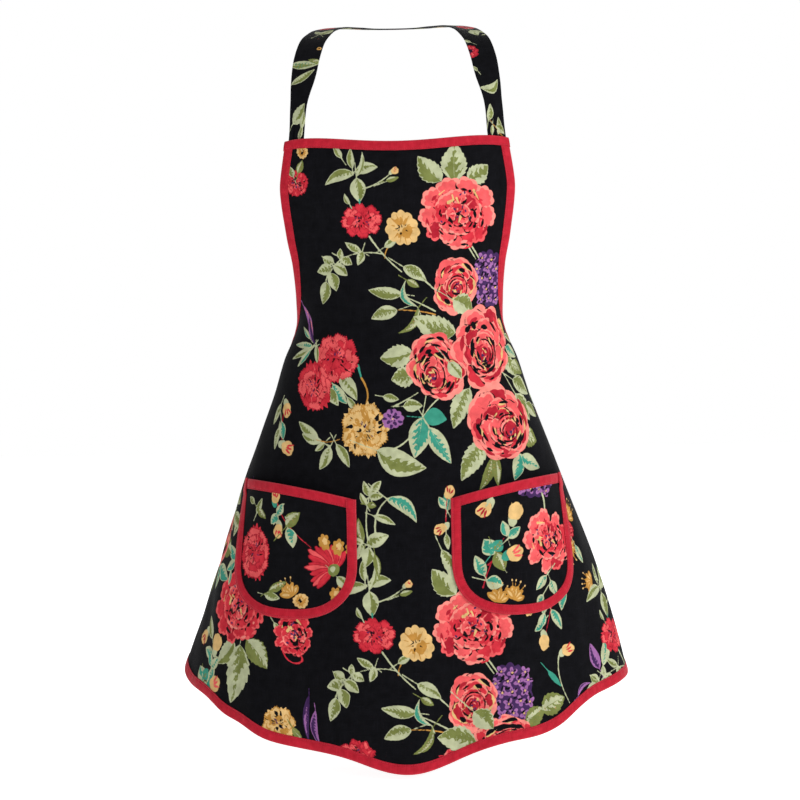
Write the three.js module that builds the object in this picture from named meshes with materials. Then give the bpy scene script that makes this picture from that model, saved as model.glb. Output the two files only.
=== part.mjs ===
// A printed cotton apron with bound edges, in the shape it has when it is worn: a bib and a
// flared skirt cut in one piece, a neck strap, two patch pockets and waist ties in a bow.
// Millimetres, +Z up, the front faces -Y. The origin is under the middle of the neck strap.
import * as THREE from "three";

// ---- Driving dimensions ----
const CLOTH = 1; // thickness of the cotton
const BAND = 12; // width of the bias binding
const BAND_CLOTH = 0.8; // thickness of one layer of binding
const GAP = 0.3; // clearance between neighbouring pieces

// The worn shape by height above the lowest point of the hem: half width, depth in front,
// depth behind, centre along Y, and how far round the cloth reaches from the front, in degrees.
const FORM = [
  { z: 0, width: 300, front: 172, back: 150, centre: 0, wrap: 112 },
  { z: 93, width: 275, front: 160, back: 138, centre: 0, wrap: 112 },
  { z: 192, width: 246, front: 146, back: 124, centre: 0, wrap: 112 },
  { z: 258, width: 226, front: 135, back: 114, centre: 0, wrap: 112 },
  { z: 339, width: 198, front: 120, back: 102, centre: 0, wrap: 112 },
  { z: 437, width: 161, front: 102, back: 88, centre: -1, wrap: 112 },
  { z: 487, width: 145, front: 92, back: 76, centre: -1, wrap: 109 },
  { z: 531, width: 128, front: 83, back: 68, centre: -2, wrap: 90 },
  { z: 563, width: 131, front: 77, back: 66, centre: -8, wrap: 74 },
  { z: 600, width: 143, front: 71, back: 66, centre: -15, wrap: 64.5 },
  { z: 637, width: 156, front: 67, back: 66, centre: -22, wrap: 60 },
  { z: 677, width: 165, front: 64, back: 66, centre: -30, wrap: 58.5 },
  { z: 701, width: 167, front: 61, back: 66, centre: -33, wrap: 58 },
  { z: 753, width: 160, front: 52, back: 66, centre: -37, wrap: 57 },
];

const HEM_LEVEL = 60; // height at which the hem's own length is measured
const HEM_RISE = 115; // how much higher the hem is at the back edges than in front
const HEM_REACH = 268; // length over which it rises
const SCALLOP_PITCH = 160;
const SCALLOP_DEPTH = 12;
const TOP_Z = 746; // middle of the bib's top edge
const COLUMNS = 34;
const ROWS = 20;

const STRAP_WIDTH = 32;
const STRAP_CLOTH = 2;
const STRAP_LIFT = 12; // clear stretch between the bib's top edge and the strap's rigid part
const NAPE = new THREE.Vector3(0, 96, 918);
const NAPE_NORMAL = new THREE.Vector3(0, -0.19, 0.98).normalize();

const TIE_Z = 490;
const TIE_WIDTH = 26;
const TIE_CLOTH = 1.6;
const KNOT = new THREE.Vector3(0, 87, TIE_Z);
const KNOT_HALF = new THREE.Vector3(14, 8, 15);
const TAIL_LENGTH = 285;
const TAIL_DROP = 4.5; // clear stretch between the knot and the top of a tail

const POCKET_MIDDLE = 139; // from the centre front to the middle of a pocket, along the cloth
const POCKET_HALF = 82;
const POCKET_MOUTH_Z = 328.5; // mean of the mouth's two ends
const POCKET_MOUTH_SLOPE = 12; // the mouth's outer end is this much above that
const POCKET_MOUTH_RISE = 4; // how far the mouth curves up between its ends
const POCKET_TURN_Z = 246; // where the straight sides end
const POCKET_BOTTOM_Z = 180;
const POCKET_ROUND = 2.4; // exponent of the round bottom
const POCKET_CLOTH = 0.8;
const POCKET_STAND = 1.6; // how far the pocket's inner face stands off the skirt
const POCKET_GAPE = 14; // how far the middle of the mouth stands open
const POCKET_BAND_STAND = 1.1; // from the pocket to the band over its edge
const POCKET_MOUTH_GAP = 0.7; // from the pocket to the band folded over its mouth

const PRINT_COLOUR = 0x101014;
const BAND_COLOUR = 0xc41a2e;

// ---- The worn shape ----

// Smooth curve through one column of FORM.
function formAt(key, z) {
  const last = FORM.length - 1;
  const slope = (i) => {
    const a = FORM[Math.max(i - 1, 0)];
    const b = FORM[Math.min(i + 1, last)];
    return (b[key] - a[key]) / (b.z - a.z);
  };
  let i = 0;
  while (i < last - 1 && z > FORM[i + 1].z) i += 1;
  const step = FORM[i + 1].z - FORM[i].z;
  const t = (z - FORM[i].z) / step;
  if (t < 0) return FORM[i][key] + slope(i) * step * t;
  if (t > 1) return FORM[i + 1][key] + slope(i + 1) * step * (t - 1);
  const t2 = t * t;
  const t3 = t2 * t;
  return (
    (2 * t3 - 3 * t2 + 1) * FORM[i][key] +
    (t3 - 2 * t2 + t) * step * slope(i) +
    (3 * t2 - 2 * t3) * FORM[i + 1][key] +
    (t3 - t2) * step * slope(i + 1)
  );
}

// Point at an angle round the form from the centre front, with no offset.
function bare(angle, z) {
  const depth = Math.cos(angle) > 0 ? formAt("front", z) : formAt("back", z);
  return new THREE.Vector3(
    formAt("width", z) * Math.sin(angle),
    formAt("centre", z) - depth * Math.cos(angle),
    z,
  );
}

// The same point moved out along the surface's normal.
function onForm(angle, z, offset) {
  const small = 0.002;
  const across = bare(angle + small, z).sub(bare(angle - small, z));
  const up = bare(angle, z + 1).sub(bare(angle, z - 1));
  const normal = across.cross(up).normalize();
  return bare(angle, z).addScaledVector(normal, offset);
}

const ANGLE_STEP = THREE.MathUtils.degToRad(1.5);

// Length along the cloth from the centre front to an angle.
function arcTo(angle, z) {
  const steps = Math.max(1, Math.ceil(angle / ANGLE_STEP));
  let length = 0;
  for (let i = 0; i < steps; i++)
    length += bare((angle * i) / steps, z).distanceTo(bare((angle * (i + 1)) / steps, z));
  return length;
}

// The angle that lies a given length along the cloth from the centre front.
function angleAt(arc, z) {
  let left = Math.abs(arc);
  let angle = 0;
  let here = bare(0, z);
  while (left > 0) {
    const next = bare(angle + ANGLE_STEP, z);
    const step = here.distanceTo(next);
    if (step >= left) {
      angle += (ANGLE_STEP * left) / step;
      break;
    }
    left -= step;
    angle += ANGLE_STEP;
    here = next;
  }
  return Math.sign(arc) * angle;
}

const halfArc = (z) => arcTo(THREE.MathUtils.degToRad(formAt("wrap", z)), z);

// ---- The panel's grid ----
// A column is a share of the half width inside the bindings, or an inset from a side edge.
// A row is an inset from the hem or from the top, or a share of the height between the bands.

const shareColumn = (share) => ({ share });
const edgeColumn = (side, inset) => ({ side, inset });
const shareRow = (share) => ({ share });
const hemRow = (inset) => ({ hem: inset });
const topRow = (inset) => ({ top: inset });

function columnArc(column, z) {
  if (column.side) return column.side * (halfArc(z) - column.inset);
  return column.share * (halfArc(z) - BAND);
}

function hemHeight(column) {
  const arc = columnArc(column, HEM_LEVEL);
  const rise = HEM_RISE * (1 - Math.exp(-((arc / HEM_REACH) ** 2)));
  return rise + (SCALLOP_DEPTH / 2) * (1 - Math.cos((2 * Math.PI * arc) / SCALLOP_PITCH));
}

function topHeight(column) {
  const share = columnArc(column, TOP_Z) / halfArc(TOP_Z);
  return TOP_Z + 22 * share ** 2 - 17 * share ** 4;
}

function rowHeight(row, column) {
  if (row.hem !== undefined) return hemHeight(column) + row.hem;
  if (row.top !== undefined) return topHeight(column) - row.top;
  const low = hemHeight(column) + BAND;
  return low + row.share * (topHeight(column) - BAND - low);
}

function clothPoint(row, column, offset) {
  const z = rowHeight(row, column);
  return onForm(angleAt(columnArc(column, z), z), z, offset);
}

const range = (count) => Array.from({ length: count }, (_, i) => i);

const columns = [
  edgeColumn(-1, 0),
  ...range(COLUMNS + 1).map((i) => shareColumn((2 * i) / COLUMNS - 1)),
  edgeColumn(1, 0),
];
const innerRows = range(ROWS + 1).map((i) => shareRow(i / ROWS));
const rows = [hemRow(0), ...innerRows, topRow(0)];

// ---- Solids ----

// How deep in the cloth a point of a slab's ring lies, and of a folded binding's ring.
function slabDepth(k, size) {
  const i = Math.min(k, size - 1 - k);
  return Math.min(i, size / 2 - 1 - i);
}
const channelDepth = (k) => (k % 4 === 0 || k % 4 === 3 ? 1 : 0);

// Closed solid through rings of points. Each ring is a thin outline: its first half runs
// along one face and its second half back along the other, so its ends close in pairs.
// Each four-cornered face is cut from its deeper point on one ring to its shallower point
// on the next, so both faces of a layer are cut alike and don't cross where it twists.
function loft(rings, depth = slabDepth) {
  const size = rings[0].length;
  const points = rings.flat();
  const faces = [];
  for (let i = 0; i + 1 < rings.length; i++)
    for (let k = 0; k < size; k++) {
      const next = (k + 1) % size;
      const a = i * size + k;
      const b = i * size + next;
      const deeper = depth(k, size) - depth(next, size);
      if (deeper > 0 || (deeper === 0 && k >= size / 2))
        faces.push([a, b, b + size], [a, b + size, a + size]);
      else faces.push([a, b, a + size], [b, b + size, a + size]);
    }
  const end = (rings.length - 1) * size;
  for (let k = 0; k + 1 < size / 2; k++) {
    const back = size - 1 - k;
    faces.push([k + 1, k, back], [k + 1, back, back - 1]);
    faces.push([end + k, end + k + 1, end + back - 1], [end + k, end + back - 1, end + back]);
  }
  const volume = faces.reduce(
    (sum, [a, b, c]) => sum + points[a].dot(points[b].clone().cross(points[c])),
    0,
  );
  if (volume < 0) faces.forEach((face) => face.reverse());
  const geometry = new THREE.BufferGeometry();
  geometry.setAttribute(
    "position",
    new THREE.Float32BufferAttribute(points.flatMap((p) => [p.x, p.y, p.z]), 3),
  );
  geometry.setIndex(faces.flat());
  return geometry;
}

// Slab of cloth: at(i, offset) gives the points of one ring, low to high offset.
function slabRing(at, count, low, high) {
  return [
    ...range(count).map((i) => at(i, high)),
    ...range(count)
      .reverse()
      .map((i) => at(i, low)),
  ];
}

// Folded binding round an edge: at(inset, offset) gives a point of the section.
function channelRing(at, cloth, gap = GAP) {
  const inside = cloth / 2 + gap;
  const outside = inside + BAND_CLOTH;
  const lip = gap + BAND_CLOTH;
  return [
    at(BAND, outside),
    at(-lip, outside),
    at(-lip, -outside),
    at(BAND, -outside),
    at(BAND, -inside),
    at(-gap, -inside),
    at(-gap, inside),
    at(BAND, inside),
  ];
}

// Flat band along a path of points, with the normal of its face at each point.
function bandRings(path, normals, width, thickness) {
  return path.map((point, i) => {
    const before = path[Math.max(i - 1, 0)];
    const after = path[Math.min(i + 1, path.length - 1)];
    const along = after.clone().sub(before).normalize();
    const across = along.clone().cross(normals[i]).normalize();
    const out = across.clone().cross(along).normalize();
    const at = (x, y) =>
      point
        .clone()
        .addScaledVector(across, (x * width) / 2)
        .addScaledVector(out, (y * thickness) / 2);
    return [at(-1, 1), at(1, 1), at(1, -1), at(-1, -1)];
  });
}

const worn = new THREE.Group(); // the apron with its hem's lowest point at height 0

function piece(name, geometry, colour) {
  geometry.computeVertexNormals();
  const material = new THREE.MeshStandardMaterial({
    color: colour,
    roughness: 0.85,
    metalness: 0,
    side: THREE.DoubleSide,
  });
  const mesh = new THREE.Mesh(geometry, material);
  mesh.name = name;
  worn.add(mesh);
}

const SIDES = [
  { name: "left", sign: -1 },
  { name: "right", sign: 1 },
];

// ---- Apron panel and the bindings of its edges ----

function addPanel() {
  const rings = rows.map((row) =>
    slabRing(
      (i, offset) => clothPoint(row, columns[i], offset),
      columns.length,
      -CLOTH / 2,
      CLOTH / 2,
    ),
  );
  piece("apron_panel", loft(rings), PRINT_COLOUR);
}

function addHemAndTopBindings() {
  const proud = 2.4; // the long bands reach past the side bindings
  const along = [edgeColumn(-1, -proud), ...columns, edgeColumn(1, -proud)];
  const band = (makeRow) =>
    loft(
      along.map((column) =>
        channelRing((inset, offset) => clothPoint(makeRow(inset), column, offset), CLOTH),
      ),
      channelDepth,
    );
  piece("hem_binding", band(hemRow), BAND_COLOUR);
  piece("bib_top_binding", band(topRow), BAND_COLOUR);
}

function addSideBindings() {
  const tieRow = 12; // the row at the height of the waist ties
  const breakShare = 0.002;
  const tieShare = tieRow / ROWS;
  const endInset = BAND + 2 * GAP;
  const stretches = {
    skirt_side_binding: [
      hemRow(endInset),
      ...innerRows.slice(1, tieRow),
      shareRow(tieShare - breakShare),
    ],
    armhole_binding: [
      shareRow(tieShare + breakShare),
      ...innerRows.slice(tieRow + 1, ROWS),
      topRow(endInset),
    ],
  };
  for (const { name, sign } of SIDES)
    for (const [kind, stretch] of Object.entries(stretches)) {
      const rings = stretch.map((row) =>
        channelRing((inset, offset) => clothPoint(row, edgeColumn(sign, inset), offset), CLOTH),
      );
      piece(`${kind}_${name}`, loft(rings, channelDepth), BAND_COLOUR);
    }
}

// ---- Pockets ----
// A place on a pocket is its share of the half width, from -1 inside to 1 outside, and a height.

const mouthHeight = (share) =>
  POCKET_MOUTH_Z + POCKET_MOUTH_SLOPE * share + POCKET_MOUTH_RISE * (1 - share * share);

function bottomHeight(share) {
  const drop = (1 - Math.abs(share) ** POCKET_ROUND) ** (1 / POCKET_ROUND);
  return POCKET_TURN_Z - (POCKET_TURN_Z - POCKET_BOTTOM_Z) * drop;
}

function pocketPoint(sign, share, z, offset) {
  const inside = Math.max(0, 1 - share * share);
  const up = (z - POCKET_BOTTOM_Z) / (mouthHeight(share) - POCKET_BOTTOM_Z);
  const gape = POCKET_GAPE * inside * Math.max(0, up) ** 2;
  const arc = POCKET_MIDDLE + POCKET_HALF * share;
  return onForm(sign * angleAt(arc, z), z, POCKET_STAND + gape + offset);
}

const POCKET_INNER = 1 - (BAND + GAP) / POCKET_HALF; // share where the edge band ends
const POCKET_STEPS = 10;
const pocketShares = [
  -1,
  -0.96,
  ...range(POCKET_STEPS + 1).map((i) => POCKET_INNER * ((2 * i) / POCKET_STEPS - 1)),
  0.96,
  1,
];
const POCKET_ROWS = 6;

function addPocketPanel(name, sign) {
  const rings = range(POCKET_ROWS + 2).map((r) =>
    slabRing(
      (i, offset) => {
        const share = pocketShares[i];
        const top = mouthHeight(share);
        const low = bottomHeight(share);
        const z = r > POCKET_ROWS ? top : low + (r / POCKET_ROWS) * (top - BAND - low);
        return pocketPoint(sign, share, z, offset);
      },
      pocketShares.length,
      0,
      POCKET_CLOTH,
    ),
  );
  piece(`pocket_${name}`, loft(rings), PRINT_COLOUR);
}

function addPocketMouthBinding(name, sign) {
  const shares = pocketShares.slice(2, -2);
  shares[0] += (2 * GAP) / POCKET_HALF;
  shares[shares.length - 1] -= (2 * GAP) / POCKET_HALF;
  const rings = shares.map((share) =>
    channelRing(
      (inset, offset) =>
        pocketPoint(sign, share, mouthHeight(share) - inset, POCKET_CLOTH / 2 + offset),
      POCKET_CLOTH,
      POCKET_MOUTH_GAP,
    ),
  );
  piece(`pocket_${name}_mouth_binding`, loft(rings, channelDepth), BAND_COLOUR);
}

// Outline of a pocket from the inner end of its mouth, round the bottom, to the outer end.
function pocketOutline() {
  const sideSteps = 3;
  const turnSteps = 14;
  const outline = [];
  for (const side of [-1, 1]) {
    const top = mouthHeight(side);
    const run = range(sideSteps).map(
      (i) => new THREE.Vector2(side, top + ((POCKET_TURN_Z - top) * i) / sideSteps),
    );
    if (side > 0) run.reverse();
    else {
      outline.push(...run);
      for (const i of range(turnSteps + 1)) {
        const turn = Math.PI * (i / turnSteps);
        const share = -Math.sign(Math.cos(turn)) * Math.abs(Math.cos(turn)) ** (2 / POCKET_ROUND);
        outline.push(new THREE.Vector2(share, bottomHeight(share)));
      }
    }
    if (side > 0) outline.push(...run);
  }
  return outline;
}

function addPocketEdgeBinding(name, sign) {
  const outline = pocketOutline();
  const proud = 1.2; // the band reaches past the pocket's own edge
  const rings = outline.map((place, i) => {
    const before = outline[Math.max(i - 1, 0)];
    const after = outline[Math.min(i + 1, outline.length - 1)];
    const along = new THREE.Vector2((after.x - before.x) * POCKET_HALF, after.y - before.y);
    const inward = new THREE.Vector2(-along.y, along.x).normalize();
    return slabRing(
      (k, offset) => {
        const inset = k ? BAND : -proud;
        const share = place.x + (inward.x * inset) / POCKET_HALF;
        return pocketPoint(sign, share, place.y + inward.y * inset, offset);
      },
      2,
      POCKET_CLOTH + POCKET_BAND_STAND,
      POCKET_CLOTH + POCKET_BAND_STAND + BAND_CLOTH,
    );
  });
  piece(`pocket_${name}_edge_binding`, loft(rings), BAND_COLOUR);
}

// ---- Neck strap ----

// Half of the strap's middle line, from the bib's corner over the shoulder to the nape.
function strapHalf(sign) {
  const start = clothPoint(topRow(-STRAP_LIFT), edgeColumn(1, STRAP_WIDTH / 2 + 1), -CLOTH);
  const stops = [
    { at: start, normal: [0.7, -0.72, 0] },
    { at: [118, -66, 797], normal: [0.5, -0.82, 0.2] },
    { at: [113, -54, 828], normal: [0.25, -0.87, 0.38] },
    { at: [108.5, -38, 857], normal: [0.08, -0.82, 0.55] },
    { at: [102, -15, 882], normal: [0.05, -0.62, 0.78] },
    { at: [91, 15, 900], normal: [0.08, -0.38, 0.92] },
    { at: [76, 48, 911], normal: [0.08, -0.25, 0.96] },
    { at: [52, 79, 916.5], normal: [0.03, -0.2, 0.98] },
    { at: [26, NAPE.y - 1.5, NAPE.z], normal: NAPE_NORMAL.toArray() },
  ];
  const points = stops.map(({ at }) => (Array.isArray(at) ? new THREE.Vector3(...at) : at));
  const curve = new THREE.CatmullRomCurve3(points, false, "centripetal");
  const steps = 16;
  return range(steps + 1).map((i) => {
    const t = (i / steps) * (stops.length - 1);
    const k = Math.min(Math.floor(t), stops.length - 2);
    const normal = new THREE.Vector3(...stops[k].normal)
      .lerp(new THREE.Vector3(...stops[k + 1].normal), t - k)
      .normalize();
    const point = curve.getPoint(i / steps);
    point.x *= sign;
    normal.x *= sign;
    return { point, normal };
  });
}

function addStrap() {
  const flat = 20; // half length of the flat patch at the nape
  const patch = (x) => ({ point: new THREE.Vector3(x, NAPE.y, NAPE.z), normal: NAPE_NORMAL });
  const stations = [
    ...strapHalf(-1),
    patch(-flat),
    patch(-flat / 2),
    patch(flat / 2),
    patch(flat),
    ...strapHalf(1).reverse(),
  ];
  const rings = bandRings(
    stations.map((s) => s.point),
    stations.map((s) => s.normal),
    STRAP_WIDTH,
    STRAP_CLOTH,
  );
  piece("neck_strap", loft(rings), PRINT_COLOUR);
}

// ---- Waist ties and their bow ----

function addTie(name, sign) {
  const clear = KNOT_HALF.x + 2 * GAP;
  const steps = 10;
  const rings = range(steps + 1).map((i) =>
    slabRing(
      (k, offset) => {
        const z = TIE_Z + (k - 0.5) * TIE_WIDTH;
        const start = angleAt(halfArc(z) + BAND_CLOTH + 4 * GAP, z);
        const end = Math.PI - Math.asin(clear / formAt("width", z));
        return onForm(sign * (start + ((end - start) * i) / steps), z, offset);
      },
      2,
      0,
      TIE_CLOTH,
    ),
  );
  piece(`waist_tie_${name}`, loft(rings), PRINT_COLOUR);
}

function addKnot() {
  const stations = 7;
  const sides = 12;
  const rings = range(stations).map((i) => {
    const along = -1 + (2 * i) / (stations - 1);
    const girth = 0.62 + 0.38 * Math.sqrt(1 - along * along * 0.98);
    return range(sides).map((k) => {
      const turn = (2 * Math.PI * (k + 0.5)) / sides;
      return new THREE.Vector3(
        along * KNOT_HALF.x,
        Math.cos(turn) * KNOT_HALF.y * girth,
        Math.sin(turn) * KNOT_HALF.z * girth,
      ).add(KNOT);
    });
  });
  piece("bow_knot", loft(rings), PRINT_COLOUR);
}

// Smooth path through stops given for the right side.
function pathThrough(stops, sign, steps) {
  const points = stops.map(([x, y, z]) => new THREE.Vector3(sign * x, y, z));
  return new THREE.CatmullRomCurve3(points, false, "centripetal").getPoints(steps);
}

function addLoop(name, sign) {
  const { y, z } = KNOT;
  const start = KNOT_HALF.x + 1.5;
  const path = pathThrough(
    [
      [start, y + 2.5, z],
      [45, y + 15, z - 4],
      [78, y + 16, z - 12],
      [94, y + 8, z - 17],
      [80, y - 1, z - 15],
      [46, y - 1, z - 7],
      [start, y - 2.5, z - 2],
    ],
    sign,
    18,
  );
  const normals = path.map((point, i) => {
    const before = path[Math.max(i - 1, 0)];
    const after = path[Math.min(i + 1, path.length - 1)];
    return after.clone().sub(before).cross(new THREE.Vector3(0, 0, 1)).normalize();
  });
  piece(`bow_loop_${name}`, loft(bandRings(path, normals, TIE_WIDTH, TIE_CLOTH)), PRINT_COLOUR);
}

function addTail(name, sign) {
  const top = KNOT.z - KNOT_HALF.z - TAIL_DROP;
  const path = pathThrough(
    [
      [14.5, KNOT.y, top],
      [17, KNOT.y + 2, top - TAIL_LENGTH * 0.15],
      [23, KNOT.y + 3, top - TAIL_LENGTH * 0.4],
      [30, KNOT.y, top - TAIL_LENGTH * 0.7],
      [35, KNOT.y - 3, top - TAIL_LENGTH],
    ],
    sign,
    12,
  );
  const normals = path.map(() => new THREE.Vector3(0, 1, 0));
  piece(`tie_tail_${name}`, loft(bandRings(path, normals, TIE_WIDTH, TIE_CLOTH)), PRINT_COLOUR);
}

// ---- Assembly ----

addPanel();
addHemAndTopBindings();
addSideBindings();
addStrap();
addKnot();
for (const { name, sign } of SIDES) {
  addPocketPanel(name, sign);
  addPocketMouthBinding(name, sign);
  addPocketEdgeBinding(name, sign);
  addTie(name, sign);
  addLoop(name, sign);
  addTail(name, sign);
}

// The origin lies on the strap's under side, at the middle of the nape.
worn.position.copy(NAPE).addScaledVector(NAPE_NORMAL, -STRAP_CLOTH / 2).negate();
const apron = new THREE.Group();
apron.add(worn);

export default apron;
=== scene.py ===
import copy
import math

import bpy
import numpy as np
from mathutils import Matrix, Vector


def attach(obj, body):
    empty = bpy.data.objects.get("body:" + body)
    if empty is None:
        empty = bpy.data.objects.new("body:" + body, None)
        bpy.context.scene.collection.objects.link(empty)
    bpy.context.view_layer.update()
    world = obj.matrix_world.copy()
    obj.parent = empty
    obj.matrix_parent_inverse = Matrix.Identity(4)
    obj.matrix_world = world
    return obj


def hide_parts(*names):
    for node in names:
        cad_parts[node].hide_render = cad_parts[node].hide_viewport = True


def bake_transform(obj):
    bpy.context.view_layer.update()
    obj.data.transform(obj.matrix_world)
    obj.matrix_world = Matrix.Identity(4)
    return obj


# A printed cotton apron in its worn shape. Lengths are in millimetres above the hem's lowest
# point until a mesh is made: add_mesh() moves them into the CAD part's frame, in metres.

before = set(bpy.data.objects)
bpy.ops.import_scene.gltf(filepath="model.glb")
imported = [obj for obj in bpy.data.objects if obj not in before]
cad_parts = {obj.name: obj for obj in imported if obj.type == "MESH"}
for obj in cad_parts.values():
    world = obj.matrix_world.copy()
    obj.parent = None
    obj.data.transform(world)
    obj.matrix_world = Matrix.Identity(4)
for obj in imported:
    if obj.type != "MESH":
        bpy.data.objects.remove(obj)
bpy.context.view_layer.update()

MM = 0.001
SHIFT = np.array([0, -96.19, -917.02])  # from the hem's lowest point to the part's origin
STRAP, APRON = "strap", "apron"
SIDES = (("left", -1), ("right", 1))

# ---- Camera ----


def add_object(name, data):
    made = bpy.data.objects.new(name, data)
    bpy.context.scene.collection.objects.link(made)
    return made


camera = add_object("camera", bpy.data.cameras.new("camera"))
camera.data.lens = 85
camera.data.sensor_width = 36
camera.location = (-0.0019, -2.4572, -0.4814)
camera.rotation_euler = (math.radians(90), math.radians(1.1), 0)
bpy.context.scene.camera = camera

# ---- Curves and lengths ----


def hermite(t, step, p0, m0, p1, m1):
    """Cubic from p0 to p1 over a step, with the slopes m0 and m1."""
    return (
        (2 * t**3 - 3 * t**2 + 1) * p0
        + (t**3 - 2 * t**2 + t) * step * m0
        + (3 * t**2 - 2 * t**3) * p1
        + (t**3 - t**2) * step * m1
    )


def unit(v):
    return v / np.linalg.norm(v, axis=-1, keepdims=True)


def length_along(points):
    """Distance along a path, at each of its points."""
    return np.concatenate([[0], np.cumsum(np.linalg.norm(np.diff(points, axis=0), axis=1))])


def smooth(low, high, x):
    t = np.clip((x - low) / (high - low), 0, 1)
    return t * t * (3 - 2 * t)


def swell(x, middle, spread):
    return np.exp(-(((x - middle) / spread) ** 2))


# ---- The worn shape, as in the CAD part ----

# height, half width, depth in front, depth behind, centre along Y, reach round from the front
FORM = np.array(
    [
        (0, 300, 172, 150, 0, 112),
        (93, 275, 160, 138, 0, 112),
        (192, 246, 146, 124, 0, 112),
        (258, 226, 135, 114, 0, 112),
        (339, 198, 120, 102, 0, 112),
        (437, 161, 102, 88, -1, 112),
        (487, 145, 92, 76, -1, 109),
        (531, 128, 83, 68, -2, 90),
        (563, 131, 77, 66, -8, 74),
        (600, 143, 71, 66, -15, 64.5),
        (637, 156, 67, 66, -22, 60),
        (677, 165, 64, 66, -30, 58.5),
        (701, 167, 61, 66, -33, 58),
        (753, 160, 52, 66, -37, 57),
    ],
    float,
)
WIDTH, FRONT, BACK, CENTRE, WRAP = 1, 2, 3, 4, 5
TOP, SKIRT = 746.0, 60.0  # heights of the bib's top and of the skirt near its hem
FOLD_PITCH = 160  # mm along the cloth from one large fold to the next


def form(column, z):
    """A column of FORM at height z: a smooth curve, and a straight line beyond either end."""
    z = np.asarray(z, float)
    h, v = FORM[:, 0], FORM[:, column]
    slope = np.gradient(v, h, edge_order=1)
    slope[1:-1] = (v[2:] - v[:-2]) / (h[2:] - h[:-2])
    i = np.clip(np.searchsorted(h, z) - 1, 0, len(h) - 2)
    step = h[i + 1] - h[i]
    t = (z - h[i]) / step
    inside = hermite(np.clip(t, 0, 1), step, v[i], slope[i], v[i + 1], slope[i + 1])
    return inside + np.minimum(t, 0) * step * slope[i] + np.maximum(t - 1, 0) * step * slope[i + 1]


def bare(angle, z):
    """A point of the plain form, without folds."""
    depth = np.where(np.cos(angle) > 0, form(FRONT, z), form(BACK, z))
    x = form(WIDTH, z) * np.sin(angle)
    return np.stack([x, form(CENTRE, z) - depth * np.cos(angle), z + 0 * angle], -1)


def normal(angle, z):
    across = bare(angle + 0.002, z) - bare(angle - 0.002, z)
    return unit(np.cross(across, bare(angle, z + 1) - bare(angle, z - 1)))


# Arc length round the form by height and angle, and the angle for an arc, from two tables.
GRID = 4.0  # mm between the tables' heights, and between their lengths
HEIGHTS = np.arange(-24.0, 812.0, GRID)
TURNS = np.radians(np.arange(0.0, 181.0))
ring = bare(TURNS[None, :], HEIGHTS[:, None])
steps = np.linalg.norm(np.diff(ring, axis=1), axis=-1)
ARCS = np.concatenate([np.zeros((len(HEIGHTS), 1)), np.cumsum(steps, axis=1)], axis=1)
LENGTHS = np.arange(0.0, 720.0, GRID)
ANGLES = np.stack([np.interp(LENGTHS, a, TURNS) for a in ARCS])


def lookup(table, z, x, x_step):
    i = np.clip((z - HEIGHTS[0]) / GRID, 0, len(HEIGHTS) - 1.001)
    j = np.clip(x / x_step, 0, table.shape[1] - 1.001)
    a, b = i.astype(int), j.astype(int)
    s, t = i - a, j - b
    low = table[a, b] * (1 - t) + table[a, b + 1] * t
    high = table[a + 1, b] * (1 - t) + table[a + 1, b + 1] * t
    return low * (1 - s) + high * s


def angle_at(arc, z):
    return np.sign(arc) * lookup(ANGLES, z + 0 * arc, np.abs(arc) + 0 * z, GRID)


def half_arc(z):
    """Length along the cloth from its middle to its side edge."""
    z = np.asarray(z, float)
    return lookup(ARCS, z, form(WRAP, z), 1.0)


def folds(arc, z):
    """How far the cloth stands off the plain form: folds in the skirt, gathers under the top."""
    loose = smooth(470, 40, z)
    drift = 0.25 * np.sin(z / 95)
    skirt = 3.6 * loose * np.sin(2 * np.pi * arc / FOLD_PITCH + 2.6 + drift)
    skirt += 1.5 * loose * np.sin(2 * np.pi * arc / 93 + 0.9 - z / 160)
    skirt += 0.5 * smooth(560, 200, z) * np.sin(2 * np.pi * arc / 47 + z / 37)
    under = np.clip((top_line(arc / half_arc(TOP)) - z) / 60, 0, 1)
    tuck = (0.35 + 0.65 * smooth(40, -80, arc)) * under * np.exp(-5 * under)
    bib = 1.7 * tuck * np.sin(2 * np.pi * arc / 13 + 0.8 * np.sin(arc / 17))
    waist = 0.8 * swell(z, 560, 60) * np.sin(z / 11 + np.abs(arc) / 23)
    return skirt + bib + waist * smooth(60, 150, np.abs(arc))


def hem_line(u):
    """Height of the scalloped hem, by the share of the way from the middle to the side edge."""
    arc = u * half_arc(SKIRT)
    even = 115 * (1 - swell(arc, 0, 268)) + 6 * (1 - np.cos(2 * np.pi * arc / FOLD_PITCH))
    # the worn hem hangs a little unevenly
    lifted = 7 * swell(arc, 130, 48) + 3 * swell(arc, -140, 30) - 8 * swell(arc, -232, 28)
    return even + 2 + lifted + 5 * smooth(255, 305, np.abs(arc))


def top_line(u):
    u = np.clip(u, -1.1, 1.1)
    return TOP + 22 * u**2 - 17 * u**4


def cloth(arc, z, offset):
    """A point of the apron's own cloth, by its place along it, its height and its offset."""
    arc, z = np.broadcast_arrays(np.asarray(arc, float), np.asarray(z, float))
    angle = angle_at(arc, z)
    away = offset + folds(arc, z)
    return bare(angle, z) + normal(angle, z) * np.asarray(away)[..., None]


# ---- The print: inks laid over one another, each kept as a signed distance in mm ----

DEEP, RED, CORAL, PINK, CREAM, OCHRE, SAGE, OLIVE, TEAL, LILAC, PURPLE, GROUND = range(12)
INKS = 12
INK_ATTRIBUTES = ("ink_a", "ink_b", "ink_c")  # four inks to each
FAR = 3  # mm, outside every blurred edge
ROUND_TURN = 6.3


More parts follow.
